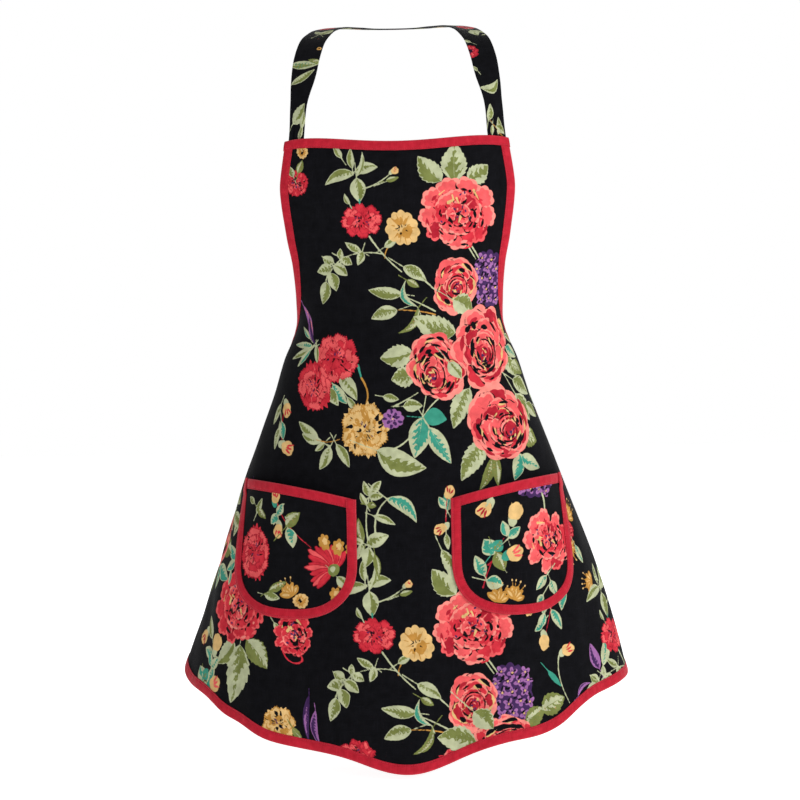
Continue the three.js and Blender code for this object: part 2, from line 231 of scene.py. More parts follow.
class Print:
    """Inks over a set of places. Its motifs are placed from x, y."""

    def __init__(self, places):
        self.places = places.reshape(-1, 2).astype(np.float32)
        self.inks = np.full((len(self.places), INKS), FAR, np.float32)
        self.x = self.y = 0

    def at(self, x, y):
        moved = copy.copy(self)
        moved.x, moved.y = self.x + x, self.y + y
        return moved

    def patch(self, x, y, reach, turn=0.0):
        return Patch(self, self.x + x, self.y + y, reach, turn)


class Patch:
    """The part of a print near a motif, in the motif's own axes."""

    def __init__(self, cloth_print, x, y, reach, turn):
        p = cloth_print.places
        self.of = cloth_print
        self.near = np.flatnonzero((abs(p[:, 0] - x) < reach) & (abs(p[:, 1] - y) < reach))
        q = p[self.near] - np.array([x, y], np.float32)
        c, s = math.cos(turn), math.sin(turn)
        self.q = np.stack([q[:, 0] * c + q[:, 1] * s, q[:, 1] * c - q[:, 0] * s], 1)
        self.inks = cloth_print.inks[self.near]

    def lay(self, ink, d):
        self.inks[:, ink] = np.minimum(self.inks[:, ink], d)
        if ink < GROUND:
            self.inks[:, ink + 1 :] = np.maximum(self.inks[:, ink + 1 :], -(d + 0.25)[:, None])

    def blob(self, ink, *shape):
        self.lay(ink, blob(self.q, *shape))

    def arc(self, ink, *shape):
        self.lay(ink, arc_line(self.q, *shape))

    def line(self, ink, points, width, tip):
        self.lay(ink, line(self.q, points, width, tip))

    def done(self):
        self.of.inks[self.near] = self.inks


def blob(q, x, y, rx, ry, turn=0.0, lobes=0, depth=0.12, phase=0.0):
    c, s = math.cos(turn), math.sin(turn)
    v = q - np.array([x, y], np.float32)
    a = (v[:, 0] * c + v[:, 1] * s) / rx
    b = (v[:, 1] * c - v[:, 0] * s) / ry
    t = np.arctan2(b, a)
    edge = 1 + 0.06 * (np.sin(2 * t + phase) + 0.7 * np.sin(3 * t + 2.3 * phase))
    if lobes:
        edge = edge + depth * (np.abs(np.sin(lobes * t / 2 + phase)) - 0.6)
    return (np.hypot(a, b) - edge) * min(rx, ry)


def hump(t, power):
    return np.maximum(np.sin(np.pi * np.clip(t, 0, 1)), 0) ** power


def arc_line(q, x, y, rx, ry, radius, start, sweep, width):
    """A tapered line along part of an ellipse."""
    a, b = (q[:, 0] - x) / rx, (q[:, 1] - y) / ry
    r = min(rx, ry)
    t = np.mod(np.arctan2(b, a) - start, 2 * np.pi) / sweep
    over = np.where(t > 1, np.minimum(t - 1, 2 * np.pi / sweep - t), 0) * sweep * radius * r
    return np.hypot((np.hypot(a, b) - radius) * r, over) - width * hump(t, 0.7)


def line(q, points, width, tip):
    """A tapered stroke through points."""
    points = np.array(points, np.float32)
    steps = np.linalg.norm(np.diff(points, axis=0), axis=1)
    along = np.concatenate([[0], np.cumsum(steps)]) / steps.sum()
    best = np.full(len(q), 99, np.float32)
    for i in range(len(points) - 1):
        d = points[i + 1] - points[i]
        t = np.clip(((q - points[i]) @ d) / (d @ d), 0, 1)
        away = np.linalg.norm(q - points[i] - t[:, None] * d, axis=1)
        share = along[i] + t * (along[i + 1] - along[i])
        best = np.minimum(best, away - width * (1 - (1 - tip) * share))
    return best


def polar(rx, ry, share, angle):
    return np.array([rx * share * math.cos(angle), ry * share * math.sin(angle)])


# ---- Motifs ----
# Kinds of leaf: its light side, its dark side, and its veins if they have an ink of their own.
PLAIN = (SAGE, OLIVE, None)
VEINED = (SAGE, OLIVE, SAGE)
COOL = (SAGE, TEAL, None)
DARK = (OLIVE, SAGE, OCHRE)
ALL_TEAL = (TEAL, TEAL, None)


def leaf(p, x0, y0, x1, y1, width, kind=PLAIN, bend=0.0, teeth=0):
    """A leaf from base to tip. bend is its sag as a share of its length."""
    base, tip = np.array([x0, y0], float), np.array([x1, y1], float)
    length = np.linalg.norm(tip - base)
    middle = (base + tip) / 2
    patch = p.patch(*middle, length / 2 + width, math.atan2(y1 - y0, x1 - x0))
    t = patch.q[:, 0] / length + 0.5
    c = np.clip(t, 0, 1)
    n = patch.q[:, 1] - bend * length * 4 * c * (1 - c)
    half = width / 2 * hump(c**0.8, 0.85)
    if teeth:
        half = half * (1 + 0.16 * (np.mod(c * teeth, 1) - 0.5))
    d = np.where((t > 0) & (t < 1), np.abs(n) - half, np.hypot(n, (t - c) * length))
    light, dark, veins = kind
    side = 1 if bend >= 0 else -1
    patch.lay(light, d)
    if width > 7:
        solid = np.maximum(half, 0.5)
        w = np.abs(n) / solid
        pitch = max(width * 0.3, 3.4)
        shift = p.x + x0
        order = (c * length - 0.9 * np.abs(n) + 0.9 * np.sin(n * 1.3 + shift)) / pitch
        slant = np.abs(np.mod(order, 1) - 0.5)
        vein = 0.5 + 0.5 * np.sin(np.floor(order) * 12.99 + np.sign(n) * 4.1 + shift)
        feather = (1 - 2 * slant) * (0.35 + 0.9 * vein)
        body = 0.5 * vein + 0.25 * np.sin(c * 5 + (p.y + y0))
        full, sparse = 0.25 + body + 0.5 * feather, 0.6 * feather - 0.12 + 0.3 * body
        reach = np.where(side * n > 0, full, sparse)
        patch.lay(dark, np.maximum(d + 0.8, (w - reach) * solid * 0.7))
        if veins is not None:
            stroke = slant * pitch - 0.5 + 2.2 * np.maximum(w - 0.7, 0)
            patch.lay(veins, np.maximum(d + 1.6, stroke))
    else:
        patch.lay(dark, np.maximum(d + 0.6, 0.3 - side * n))
    patch.lay(light, np.maximum(np.abs(n) - 0.55 * (1 - 0.6 * c), (c - 0.9) * length))
    patch.done()


def leaves(p, *rows, **shared):
    for row in rows:
        leaf(p, *row, **shared)


def stem(p, points, width=1.0, ink=SAGE, tip=0.6):
    """A twig through x, y pairs. Three pairs make a curve."""
    path = np.array(points, float).reshape(-1, 2)
    if len(path) == 3:
        t = np.linspace(0, 1, 8)[:, None]
        path = (1 - t) ** 2 * path[0] + 2 * t * (1 - t) * path[1] + t**2 * path[2]
    low, high = path.min(0), path.max(0)
    middle = (low + high) / 2
    patch = p.patch(*middle, max(high - low) / 2 + 3)
    patch.line(ink, path - middle, width, tip)
    patch.done()


def rose(p, x, y, rx, ry, seed, dark=DEEP, heart=(0.1, -0.1), gaps=30):
    """A full rose: ragged petals in rings, lighter rims, broken black gaps, a dark heart."""
    r = np.random.default_rng(seed)
    patch = p.patch(x, y, max(rx, ry) * 1.25, r.uniform(-0.3, 0.3))
    patch.blob(PINK, 0, 0, rx * 0.93, ry * 0.93, 0, 9, 0.11, seed)
    middle = np.array(heart) * [rx, ry]
    rings = ((1.0, 8, 0.62, 0.4, 0.9), (0.8, 7, 0.46, 0.34, 0.2), (0.55, 5, 0.3, 0.27, 0.2))
    for size, count, reach, petal, thin in rings:
        first = r.uniform(0, ROUND_TURN)
        drift = middle * (1 - size)
        for i in range(count):
            a = first + 2 * np.pi * i / count + r.uniform(-0.2, 0.2)
            cx, cy = polar(rx, ry, reach, a) + drift
            w = petal * r.uniform(0.78, 1.2)
            cx, cy = cx * r.uniform(0.92, 1.06), cy * r.uniform(0.92, 1.06)
            turn, phase = a + np.pi / 2, r.uniform(0, 6)
            edge = [PINK, PINK, CORAL, PINK if size == 1 else CREAM, PINK][r.integers(0, 5)]
            inner = [CORAL, CORAL, CORAL, RED, CORAL, dark, CORAL][r.integers(0, 7)]
            gap = np.maximum(
                blob(patch.q, cx, cy, w * rx * 1.22, w * ry * 0.86, turn, 3, 0.1, phase),
                -blob(patch.q, cx * 0.9, cy * 0.9, w * rx, w * ry, turn),
            )
            patch.lay(GROUND, gap + thin)
            patch.blob(edge, cx, cy, w * rx * 1.15, w * ry * 0.78, turn, 5, 0.13, phase)
            cx, cy = cx * 0.955, cy * 0.955
            patch.blob(inner, cx, cy, w * rx * 1.05, w * ry * 0.68, turn, 7, 0.16, phase)
            for _ in range(2):
                b = a + r.uniform(-0.35, 0.35)
                start = drift + polar(rx, ry, reach - petal * 0.5, b)
                stop = drift + polar(rx, ry, reach + petal * r.uniform(0.0, 0.45), b + 0.12)
                ink = [dark, dark, PINK][r.integers(0, 3)]
                patch.line(ink, [start, stop], r.uniform(0.7, 1.5), 0.2)
    patch.blob(dark, *middle, rx * 0.27, ry * 0.26, 0.4, 7, 0.15, seed)
    for i in range(15):
        size = r.uniform(0.32, 0.9)
        shape = r.uniform(0, ROUND_TURN), r.uniform(0.2, 0.7), r.uniform(1.2, 3.2)
        patch.arc([dark, RED, dark, PINK][i % 4], *middle * (1 - size), rx, ry, size, *shape)
    for i in range(gaps):
        size = r.uniform(0.25, 0.84)
        wide = r.uniform(0.9, 2.5)
        sweep = min(r.uniform(5, 16) / (size * min(rx, ry)), 1.4)
        first = r.uniform(0, ROUND_TURN)
        hx, hy = middle * (1 - size)
        ring = hx, hy + 0.05 * ry, rx, ry * 0.97
        if i % 5 == 0:
            patch.arc(CREAM, *ring, size - 0.05, first + 0.1, sweep, wide)
        patch.arc(GROUND, *ring, size, first, sweep, wide)
    for i in range(9):
        for _ in range(2):
            ink = [PINK, GROUND, CORAL, GROUND][i % 4]
            shape = r.uniform(0, ROUND_TURN), r.uniform(1.0, 2.2), r.uniform(0.5, 0.95)
            patch.arc(ink, *middle * 0.85, rx, ry, 0.08 + 0.05 * i, *shape)
    for _ in range(5):
        a, s = r.uniform(0, ROUND_TURN), r.uniform(0.08, 0.4)
        shape = r.uniform(1.2, 4.2), r.uniform(0.8, 1.7), r.uniform(0, 3)
        patch.blob(CREAM, *middle + polar(rx, ry, s, a), *shape)
    for _ in range(9):
        a, s = r.uniform(0, ROUND_TURN), r.uniform(0.02, 0.2)
        patch.blob(PURPLE, *middle + polar(rx, ry, s, a), 1.4, 0.9, a)
    patch.done()


def peony(p, x, y, rx, ry, seed, turn=0.0, body=CORAL):
    """An open flower seen from the side: wide ruffled petals fanning from low in the middle."""
    r = np.random.default_rng(seed)
    patch = p.patch(x, y, max(rx, ry) * 1.3, turn)

    def petal(px, py, w, h, lean, ink):
        phase = r.uniform(0, 6)
        cx, cy, w, h = px * rx, py * ry, w * rx, h * ry
        shade, edge = (RED, PINK) if ink == CORAL else (DEEP, CORAL)
        place = cx * 0.95, cy * 0.95 - 1.2
        gap = blob(patch.q, *place, w * 1.03, h * 1.03, lean, 5, 0.17, phase)
        patch.lay(GROUND, gap + 0.1)
        patch.blob(edge, cx, cy, w, h, lean, 7, 0.17, phase)
        patch.blob(ink, cx * 0.94, cy * 0.94, w * 0.9, h * 0.86, lean, 9, 0.2, phase + 0.3)
        patch.blob(shade, cx * 0.76, cy * 0.76, w * 0.5, h * 0.4, lean, 7, 0.4, phase)
        for _ in range(3):
            b = r.uniform(-0.6, 0.6)
            start = (cx * 0.6 + b * w * 0.5, cy * 0.6)
            stop = (cx * 0.95 + b * w, cy * 0.95 + b * h * 0.4)
            stroke = [DEEP, RED, PINK][r.integers(0, 3)]
            patch.line(stroke, [start, stop], r.uniform(0.6, 1.4), 0.15)

    for px, py, w, h, lean, ink in (
        (-0.25, 0.66, 0.36, 0.3, 0.3, body), (0.3, 0.68, 0.36, 0.28, -0.3, body),
        (-0.68, 0.36, 0.3, 0.3, 0.9, body), (0.7, 0.4, 0.28, 0.32, -0.8, body),
        (-0.78, -0.12, 0.26, 0.3, 1.5, body), (0.78, -0.1, 0.26, 0.28, -1.4, body),
        (-0.56, -0.46, 0.32, 0.26, 0.6, DEEP), (0.5, -0.52, 0.28, 0.3, -0.5, RED),
        (-0.02, -0.76, 0.34, 0.24, 0.1, body), (0.26, -0.62, 0.2, 0.28, 0.3, RED),
        (-0.3, -0.62, 0.22, 0.24, 0.5, body),
    ):
        petal(px, py, w, h, lean, ink)
    first = r.uniform(0, 6)
    for i in range(8):
        a = first + i * np.pi / 4
        ink = [body, CORAL, RED, body, DEEP][i % 5]
        petal(0.46 * math.cos(a), 0.44 * math.sin(a), 0.27, 0.2, a + np.pi / 2, ink)
    for i in range(5):
        a = first + 0.4 + i * 1.26
        ink = [RED, CORAL, CORAL][i % 3]
        petal(0.2 * math.cos(a), 0.18 * math.sin(a) - 0.04, 0.19, 0.14, a + np.pi / 2, ink)
    low = -0.1 * ry
    for i in range(20):
        a, s = r.uniform(0, ROUND_TURN), r.uniform(0.15, 0.9)
        shape = r.uniform(0.12, 0.4), r.uniform(0.9, 2.2)
        patch.arc([DEEP, RED, PINK, RED][i % 4], 0, low, rx, ry, s, a, *shape)
    for _ in range(15):
        a, s = r.uniform(0, ROUND_TURN), r.uniform(0.18, 0.82)
        sweep = min(r.uniform(4, 12) / (s * min(rx, ry)), 1.2)
        patch.arc(GROUND, 0, low, rx, ry, s, a, sweep, r.uniform(0.9, 2.0))
    for points, wide in (
        ([(-0.26, 0.28), (-0.12, 0.36), (-0.16, 0.5)], 2.0), ([(-0.04, 0.4), (0.02, 0.26)], 1.4),
        ([(0.42, 0.62), (0.56, 0.36)], 1.6), ([(0.06, -0.12), (0.0, -0.28)], 1.6),
        ([(-0.5, 0.5), (-0.36, 0.62)], 1.0),
    ):
        patch.line(CREAM, np.array(points) * [rx, ry], wide, 0.3)
    for px, py in (
        (-0.1, 0.1), (0.05, 0.02), (0.12, 0.16), (-0.02, -0.12), (0.2, 0.05), (-0.45, -0.25),
        (0.3, -0.15), (0.06, 0.5), (0.18, 0.56),
    ):
        patch.blob(PURPLE, px * rx, py * ry, 1.9, 1.1, px * 9)
    for _ in range(14):
        a, s = r.uniform(-0.6, 2.2), r.uniform(0.25, 0.6)
        patch.blob(DEEP, *polar(rx, ry, s, a), 1.0, 0.8)
    patch.done()


def carnation(p, x, y, rx, ry, seed, inks=(RED, DEEP, CORAL), turn=0.0, bold=1.0):
    """A ruffled flower: saw-edged petals in overlapping fans."""
    r = np.random.default_rng(seed)
    body, dark, light = inks
    patch = p.patch(x, y, max(rx, ry) * 1.3, turn)

    def fan(cx, cy, w, h, t, ink, back):
        v = patch.q - np.array([cx, cy], np.float32)
        c, s = math.cos(t), math.sin(t)
        a, b = (v[:, 0] * c + v[:, 1] * s) / w, (v[:, 1] * c - v[:, 0] * s) / h
        th = np.arctan2(b, a)
        teeth = np.abs(np.mod(th * 3.5 + seed, 1) - 0.5) * 0.42 - 0.07
        teeth += 0.08 * np.sin(5 * th + seed)
        d = (np.hypot(a, b) - 0.9 - teeth) * min(w, h)
        patch.lay(back, d - 0.9)
        patch.lay(ink, d + 0.35)

    fan(0, 0, rx * 0.95, ry * 0.95, 0, body, body)
    first = r.uniform(0, 6)
    for k, (reach, size, count) in enumerate(((0.66, 0.36, 8), (0.45, 0.33, 7), (0.22, 0.3, 4))):
        for i in range(count):
            a = first + k + 2 * np.pi * i / count
            ink = [body, light, body, light][r.integers(0, 4)]
            fan(*polar(rx, ry, reach, a), rx * size, ry * size, a, ink, dark)
    for i in range(54):
        a, s = r.uniform(0, ROUND_TURN), r.uniform(0.15, 0.75)
        e = s + r.uniform(0.1, 0.24)
        ink = [dark, dark, GROUND if i % 3 else dark, light, body][i % 5]
        ends = [polar(rx, ry, s, a), polar(rx, ry, e, a + 0.1)]
        patch.line(ink, ends, bold * r.uniform(0.6, 1.2), 0.3)
    for i in range(18):
        a, s = r.uniform(0, ROUND_TURN), r.uniform(0.1, 0.45)
        ink = GROUND if i % 3 else PURPLE
        patch.blob(ink, *polar(rx, ry, s, a), r.uniform(1.2, 2.4), 0.7, a)
    patch.done()


YELLOW = (CREAM, OCHRE, CREAM)


def yellow_flower(p, x, y, rx, ry, seed, turn=0.0):
    r = np.random.default_rng(seed)
    patch = p.patch(x, y, max(rx, ry) * 1.3, turn)
    patch.blob(CREAM, 0, 0, rx, ry, 0, 11, 0.14, seed)
    for _ in range(7):
        a = r.uniform(0, ROUND_TURN)
        patch.blob(OCHRE, *polar(rx, ry, 0.42, a), rx * 0.24, ry * 0.09, a, 0, 0, a)
    patch.blob(OCHRE, rx * 0.15, -ry * 0.3, rx * 0.4, ry * 0.28, 0.5, 5, 0.2, 1)
    for i in range(13):
        a, s = i * 0.49, r.uniform(0.35, 0.6)
        ends = [polar(rx, ry, s, a), polar(rx, ry, s + 0.35, a)]
        patch.line(OCHRE, ends, r.uniform(0.5, 1.3), 0.3)
    for _ in range(9):
        a = r.uniform(0, ROUND_TURN)
        s = r.uniform(0.05, 0.35)
        patch.line(GROUND, [polar(rx, ry, s, a), polar(rx, ry, s + 0.2, a)], 0.8, 0.1)
    patch.done()


def cluster(p, x, y, rx, ry, seed):
    """A round head of many small four-petalled florets."""
    r = np.random.default_rng(seed)
    patch = p.patch(x, y, max(rx, ry) * 1.3)
    patch.blob(PURPLE, 0, 0, rx, ry, 0, 13, 0.12, seed)
    pitch = 14.0
    for j in range(-6, 7):
        for i in range(-6, 7):
            cx = (i + 0.5 * (j % 2)) * pitch + r.uniform(-1.8, 1.8)
            cy = j * pitch * 0.86 + r.uniform(-1.8, 1.8)
            if math.hypot(cx / rx, cy / ry) > 1.0:
                continue
            first = r.uniform(0, 1.5)
            for k in range(4):
                a = first + k * np.pi / 2 + r.uniform(-0.2, 0.2)
                px, py = polar(3.9, 3.9, 1, a) + [cx, cy]
                patch.blob(LILAC, px, py, 3.3, 2.6, a, 0, 0, a)
                patch.line(PURPLE, [polar(1.5, 1.5, 1, a) + [cx, cy], (px, py)], 0.8, 0.2)
            for _ in range(3):
                place = cx + r.uniform(-7, 7), cy + r.uniform(-6, 6)
                patch.blob(GROUND, *place, r.uniform(1.8, 3.2), 1.2, first)
            patch.blob(CREAM, cx, cy, 1.9, 1.4, first)
            patch.blob(OCHRE, cx, cy, 0.8, 0.7)
    patch.done()


def pansy(p, x, y, radius):
    patch = p.patch(x, y, radius * 1.4)
    patch.blob(LILAC, 0, 0, radius, radius, 0, 10, 0.14, 1)
    for i in range(9):
        a, s = i * 0.7 + 1, radius * (0.78 if i % 2 else 0.5)
        patch.blob(PURPLE, *polar(s, s, 1, a), radius * 0.24, radius * 0.14, a, 3, 0.3, i)
        patch.blob(GROUND, *polar(s, s, 0.5, a + 0.4), 1.3, 0.8, a)
    patch.blob(CREAM, 0, 0, 1.6, 1.3)
    patch.done()


def daisy(p, x, y, radius, turn, seed):
    """A half-turned flower: long petals to one side, a green eye, yellow florets round it."""
    r = np.random.default_rng(seed)
    patch = p.patch(x, y, radius * 1.5)
    for i in range(15):
        a = turn + (i - 7) * 0.21 + r.uniform(-0.05, 0.05)
        tip = radius * r.uniform(0.85, 1.1) * (1 - 0.03 * abs(i - 7))
        middle = polar(tip, tip, 0.56, a)
        patch.blob(DEEP, *middle, tip * 0.46, 4.4, a)
        patch.blob([RED, CORAL, RED][i % 3], *middle, tip * 0.44, 3.2, a)
        patch.line(DEEP, [polar(tip, tip, 0.3, a), polar(tip, tip, 0.8, a)], 0.5, 0.2)
    for a, s in ((0.3, 0.85), (0.85, 0.95), (1.35, 0.75), (-0.9, 0.6), (1.9, 0.95), (-1.5, 0.8)):
        cx, cy = polar(radius, radius, s, a)
        patch.blob(OCHRE, cx, cy, radius * 0.24, radius * 0.2, a, 7, 0.3, a)
        patch.blob(CREAM, cx + 1, cy + 1, radius * 0.12, radius * 0.1, a, 5, 0.3, a)
        patch.blob(DEEP, cx - 1, cy - 1, 1.1, 0.8)
    patch.blob(OLIVE, 0, 0, radius * 0.2, radius * 0.2)
    patch.blob(SAGE, -1, 1, radius * 0.1, radius * 0.1)
    patch.done()


def lily(p, x, y, radius, turn):
    """A small trumpet flower with long stamens."""
    patch = p.patch(x, y, radius * 2.0, turn)
    for k, a in enumerate((-1.0, -0.45, 0.1, 0.65, 1.2)):
        place = polar(radius, radius, 0.5, a)
        patch.blob(OCHRE, *place, radius * 0.56, radius * 0.26, a, 3, 0.15, k)
        patch.blob(CREAM, *place, radius * 0.42, radius * 0.13, a)
    for a in (-0.3, 0.05, 0.35, 0.6):
        start, end = polar(radius, radius, 0.6, a), polar(radius, radius, 1.5, a)
        patch.line(OCHRE, [start, end], 0.55, 0.9)
        patch.blob(CREAM, *end, 1.5, 1.0, a)
    patch.done()


def bud(p, x, y, radius, turn, tip=RED, sepal=SAGE):
    """A closed bud that points along turn."""
    patch = p.patch(x, y, radius * 2.2, turn)
    patch.blob(sepal, -radius * 0.95, radius * 0.1, radius * 0.7, radius * 0.5, 0.3)
    patch.blob(CREAM, 0, 0, radius, radius * 0.8, 0, 5, 0.1, radius)
    for s in (-0.35, 0.05, 0.42):
        patch.blob(tip, radius * 0.25, radius * s, radius * 0.55, radius * 0.15, s)
    patch.done()


def blade(p, x0, y0, xm, ym, x1, y1, width, first, second):
    """A narrow leaf from one end to the other, bent by the place in the middle."""
    chord = np.array([x1 - x0, y1 - y0], float)
    side = chord[0] * (ym - y0) - chord[1] * (xm - x0)
    leaf(p, x0, y0, x1, y1, width * 1.25, (first, second, None), side / (chord @ chord))


# ---- Groups of motifs. Each begins at a place of its own ----


def vine(p, x, y):
    """A leafy shoot with its leaves in pairs, hanging to the left of its root."""
    p = p.at(x, y)
    stem(p, (0, 0, -29, 6, -51, -5), 0.8)
    stem(p, (-51, -5, -62, -14, -72, -30), 0.8)
    leaves(
        p,
        (-26, 4, -45, 15, 9), (-24, 4, -30, -13, 10), (-51, -5, -51, 8, 8),
        (-50, -4, -37, -12, 11), (-60, -9, -74, -1, 12), (-63, -13, -82, -19, 14),
        (-60, -12, -43, -25, 13), (-65, -21, -58, -43, 15), (-71, -31, -78, -58, 15),
        bend=0.04,
    )


def shoot(p, x, y):
    """Broad leaves round a joint, a side twig with two small buds, and a flower head below."""
    p = p.at(x, y)
    leaves(
        p,
        (0, 0, -36, -13, 14, PLAIN, -0.12), (2, 2, 29, 7, 14, PLAIN, 0.08), (3, -6, 6, -35, 19),
        (-2, 6, -4, 31, 9, PLAIN, 0.05), (-6, -37, -12, -24, 6, PLAIN, 0.1),
        (3, -4, 10, 26, 6, PLAIN, -0.1),
    )
    stem(p, (10, -19, 26, -16, 42, -3), 0.9)
    stem(p, (24, -16, 34, -12, 46, -9), 0.7)
    bud(p, 49, 2, 5, 0.5)
    leaf(p, 38, -10, 54, -6, 7, DARK)
    stem(p, (6, -32, 6, -40), 1.2, TEAL)
    carnation(p, 8, -57, 24, 18, 5)


def bouquet(p, x, y):
    """A large open flower, leaves above it, and flowers, a vine and twigs to its left and below."""
    p = p.at(x, y)
    leaf(p, -20, 38, -48, 68, 26, PLAIN, 0.06, 7)
    leaf(p, 12, 40, 38, 58, 24, PLAIN, -0.08, 6)
    leaf(p, -4, 38, -2, 84, 32, PLAIN, 0.03, 8)
    shoot(p, -125, 49)
    stem(p, (-108, -27, -92, -52, -70, -70), 1.1)
    stem(p, (-74, -32, -90, -38, -90, -54), 0.9, OCHRE)
    leaf(p, -90, -40, -74, -30, 9)
    yellow_flower(p, -68, -18, 18, 22, 2, 0.5)
    vine(p, -93, -48)
    stem(p, (12, -40, 22, -55))
    stem(p, (17, -40, 29, -58))
    peony(p, 0, 0, 46, 43, 4)
    leaf(p, -68, -64, -40, -82, 15, VEINED, 0.05)
    leaf(p, -64, -80, -49, -89, 9, DARK)
    stem(p, (-41, -82, -28, -94))
    leaf(p, -70, -97, -111, -91, 15, PLAIN, 0.03)
    leaf(p, -76, -116, -108, -126, 17, VEINED, -0.05)
    stem(p, (-30, -118, -52, -106, -70, -99))
    stem(p, (-30, -122, -52, -116, -76, -116), 0.9, OCHRE)
    leaf(p, -52, -112, -65, -80, 8, COOL, 0.3)
    leaf(p, -51, -114, -76, -144, 9, DARK, 0.2)
    cluster(p, 45, -78, 24, 34, 3)
    rose(p, -4, -87, 30, 35, 11, gaps=7)


def posy(p, x, y):
    """Three full roses with leaves, two ruffled flowers, a yellow one and cool leaves."""
    p = p.at(x, y)
    leaves(
        p,
        (14, 19, -25, 12, 27, PLAIN, 0.05, 7), (16, -10, -12, -14, 25, VEINED, -0.03, 6),
        (68, 42, 16, 62, 31, VEINED, 0.08, 8), (66, 82, 92, 68, 26, VEINED, 0.05, 6),
        (84, -26, 62, -74, 24, VEINED, -0.05, 7), (104, -88, 70, -136, 26, VEINED, -0.04, 8),
        (112, -108, 92, -148, 13, DARK, 0.06), (114, -106, 116, -144, 12, DARK),
        (148, -106, 138, -138, 18, COOL, 0.06), (152, -108, 180, -124, 19, COOL, -0.06),
        (152, -34, 174, -66, 24, PLAIN, 0.06, 6), (156, -84, 182, -92, 25, DARK, 0.04, 6),
        (136, 12, 160, -12, 20, PLAIN, 0.05, 5),
    )
    leaves(
        p,
        (144, 24, 168, 12, 16, COOL), (150, 4, 180, -8, 19, DARK), (150, -16, 186, -34, 22),
        (150, 40, 172, 30, 10), (172, -46, 196, -62, 17), (140, 54, 150, 34, 9, COOL),
        bend=0.05,
    )
    yellow_flower(p, 142, 46, 9, 14, 6)
    rose(p, 45, 1, 34, 45, 21, heart=(-0.3, -0.25))
    rose(p, 107, 25, 39, 54, 22, heart=(0.0, -0.2))
    rose(p, 124, -68, 46, 47, 23, heart=(0.3, -0.3))
    leaf(p, 58, 6, 74, -14, 16, VEINED)
    stem(p, (-52, 4, -50, -4, -48, -11), 1.6, TEAL)
    stem(p, (-48, -11, -36, -30, -43, -42), 1.2, OCHRE)
    leaves(
        p,
        (-76, -6, -54, -38, 17, PLAIN, 0.05), (-84, -18, -66, -42, 13, COOL, -0.05),
        (-96, -22, -77, -44, 15, PLAIN, 0.05), (-66, -34, -52, -54, 8, VEINED),
    )
    carnation(p, -80, 14, 28, 29, 6, turn=0.5)
    carnation(p, -110, -20, 23, 31, 7, turn=0.3)
    stem(p, (-34, -95, -10, -104, 8, -84), 1.3)
    carnation(p, -45, -73, 28, 33, 8, YELLOW, bold=2.4)
    pansy(p, -11, -61, 12)
    leaf(p, 2, -46, 25, -46, 15, VEINED, 0.03)
    leaf(p, -22, -34, -3, -38, 10)
    stem(p, (-10, -46, 4, -40, 20, -30), 0.9)
    stem(p, (44, -38, 34, -46, 26, -58), 0.9)
    leaves(
        p,
        (26, -60, 54, -63, 21, ALL_TEAL, 0.08), (24, -60, 14, -108, 26, COOL, 0.02),
        (33, -72, 58, -115, 21, COOL, -0.02), (-30, -98, 28, -120, 31, PLAIN, -0.1),
    )
    leaves(
        p,
        (-104, -82, -131, -62, 13), (-100, -87, -126, -77, 12), (-88, -93, -102, -120, 14),
        (-80, -90, -64, -118, 12), (-96, -88, -108, -98, 7),
        bend=0.04,
    )
    stem(p, (-106, -84, -92, -90, -76, -84), 0.8, OCHRE)
    blade(p, -132, 80, -122, 62, -114, 34, 6, LILAC, PINK)
    blade(p, -122, 66, -120, 50, -108, 28, 5, PURPLE, LILAC)
    leaves(
        p,
        (-118, 38, -134, 54, 6, COOL), (-112, 28, -150, 14, 8), (-114, 30, -146, 32, 8, COOL),
        (-108, 30, -106, 8, 7, VEINED), (-116, 26, -138, 4, 7, COOL),
    )
    stem(p, (-152, -36, -166, -70, -150, -100), 0.8, DEEP)
    bud(p, -152, -48, 9, -1.2)
    bud(p, -147, -94, 10, -0.4)
    leaf(p, -160, -62, -154, -84, 12, COOL)
    leaf(p, -164, -40, -176, -66, 9, VEINED)
    leaf(p, -164, -70, -168, -96, 9)


def berries(p, x, y):
    """An upright twig of round teal leaves and buds."""
    p = p.at(x, y)
    stem(p, (0, 0, 8, 30, 26, 56), 0.8, DEEP)
    stem(p, (6, 26, 18, 36, 30, 38), 0.8, DEEP)
    leaves(
        p,
        (2, 14, -9, 38, 14, COOL), (4, 8, 24, 2, 17, COOL), (14, 38, 2, 56, 20, COOL),
        (16, 40, 26, 18, 18, DARK), (14, 42, 24, 54, 15, (TEAL, OLIVE, None)),
        (30, 58, 24, 76, 11, COOL), (32, 56, 46, 68, 12, COOL),
    )
    bud(p, 40, 38, 11, 0.3, CORAL, TEAL)
    bud(p, 40, 86, 11, 1.3, CREAM)
    bud(p, 2, 90, 10, -2.3, DEEP)


def garden(p, x, y):
    """A red flower head over broad leaves, a smaller one, a yellow bloom and blades."""
    p = p.at(x, y)
    leaves(
        p,
        (10, -36, 40, -68, 27, DARK), (-10, -38, -38, -66, 23), (0, -42, -14, -110, 36, VEINED),
        bend=0.05,
        teeth=7,
    )
    peony(p, -6, 2, 42, 42, 9, 0.6, RED)
    leaf(p, 40, 14, 62, -6, 9)
    leaf(p, 48, -14, 62, -34, 8, VEINED)
    peony(p, 72, -28, 22, 25, 13, 0.3, RED)
    loop = p.patch(70, -52, 22)
    loop.lay(RED, np.abs(blob(loop.q, 0, 1, 13, 7, -0.7, 3, 0.12)) - 0.7)
    loop.done()
    carnation(p, 54, -131, 19, 20, 15, YELLOW, bold=2.2)
    blade(p, 90, -96, 86, -126, 90, -152, 6, PURPLE, LILAC)
    blade(p, 98, -114, 96, -134, 104, -154, 7, LILAC, PURPLE)
    leaf(p, 70, -134, 82, -152, 8, DARK)


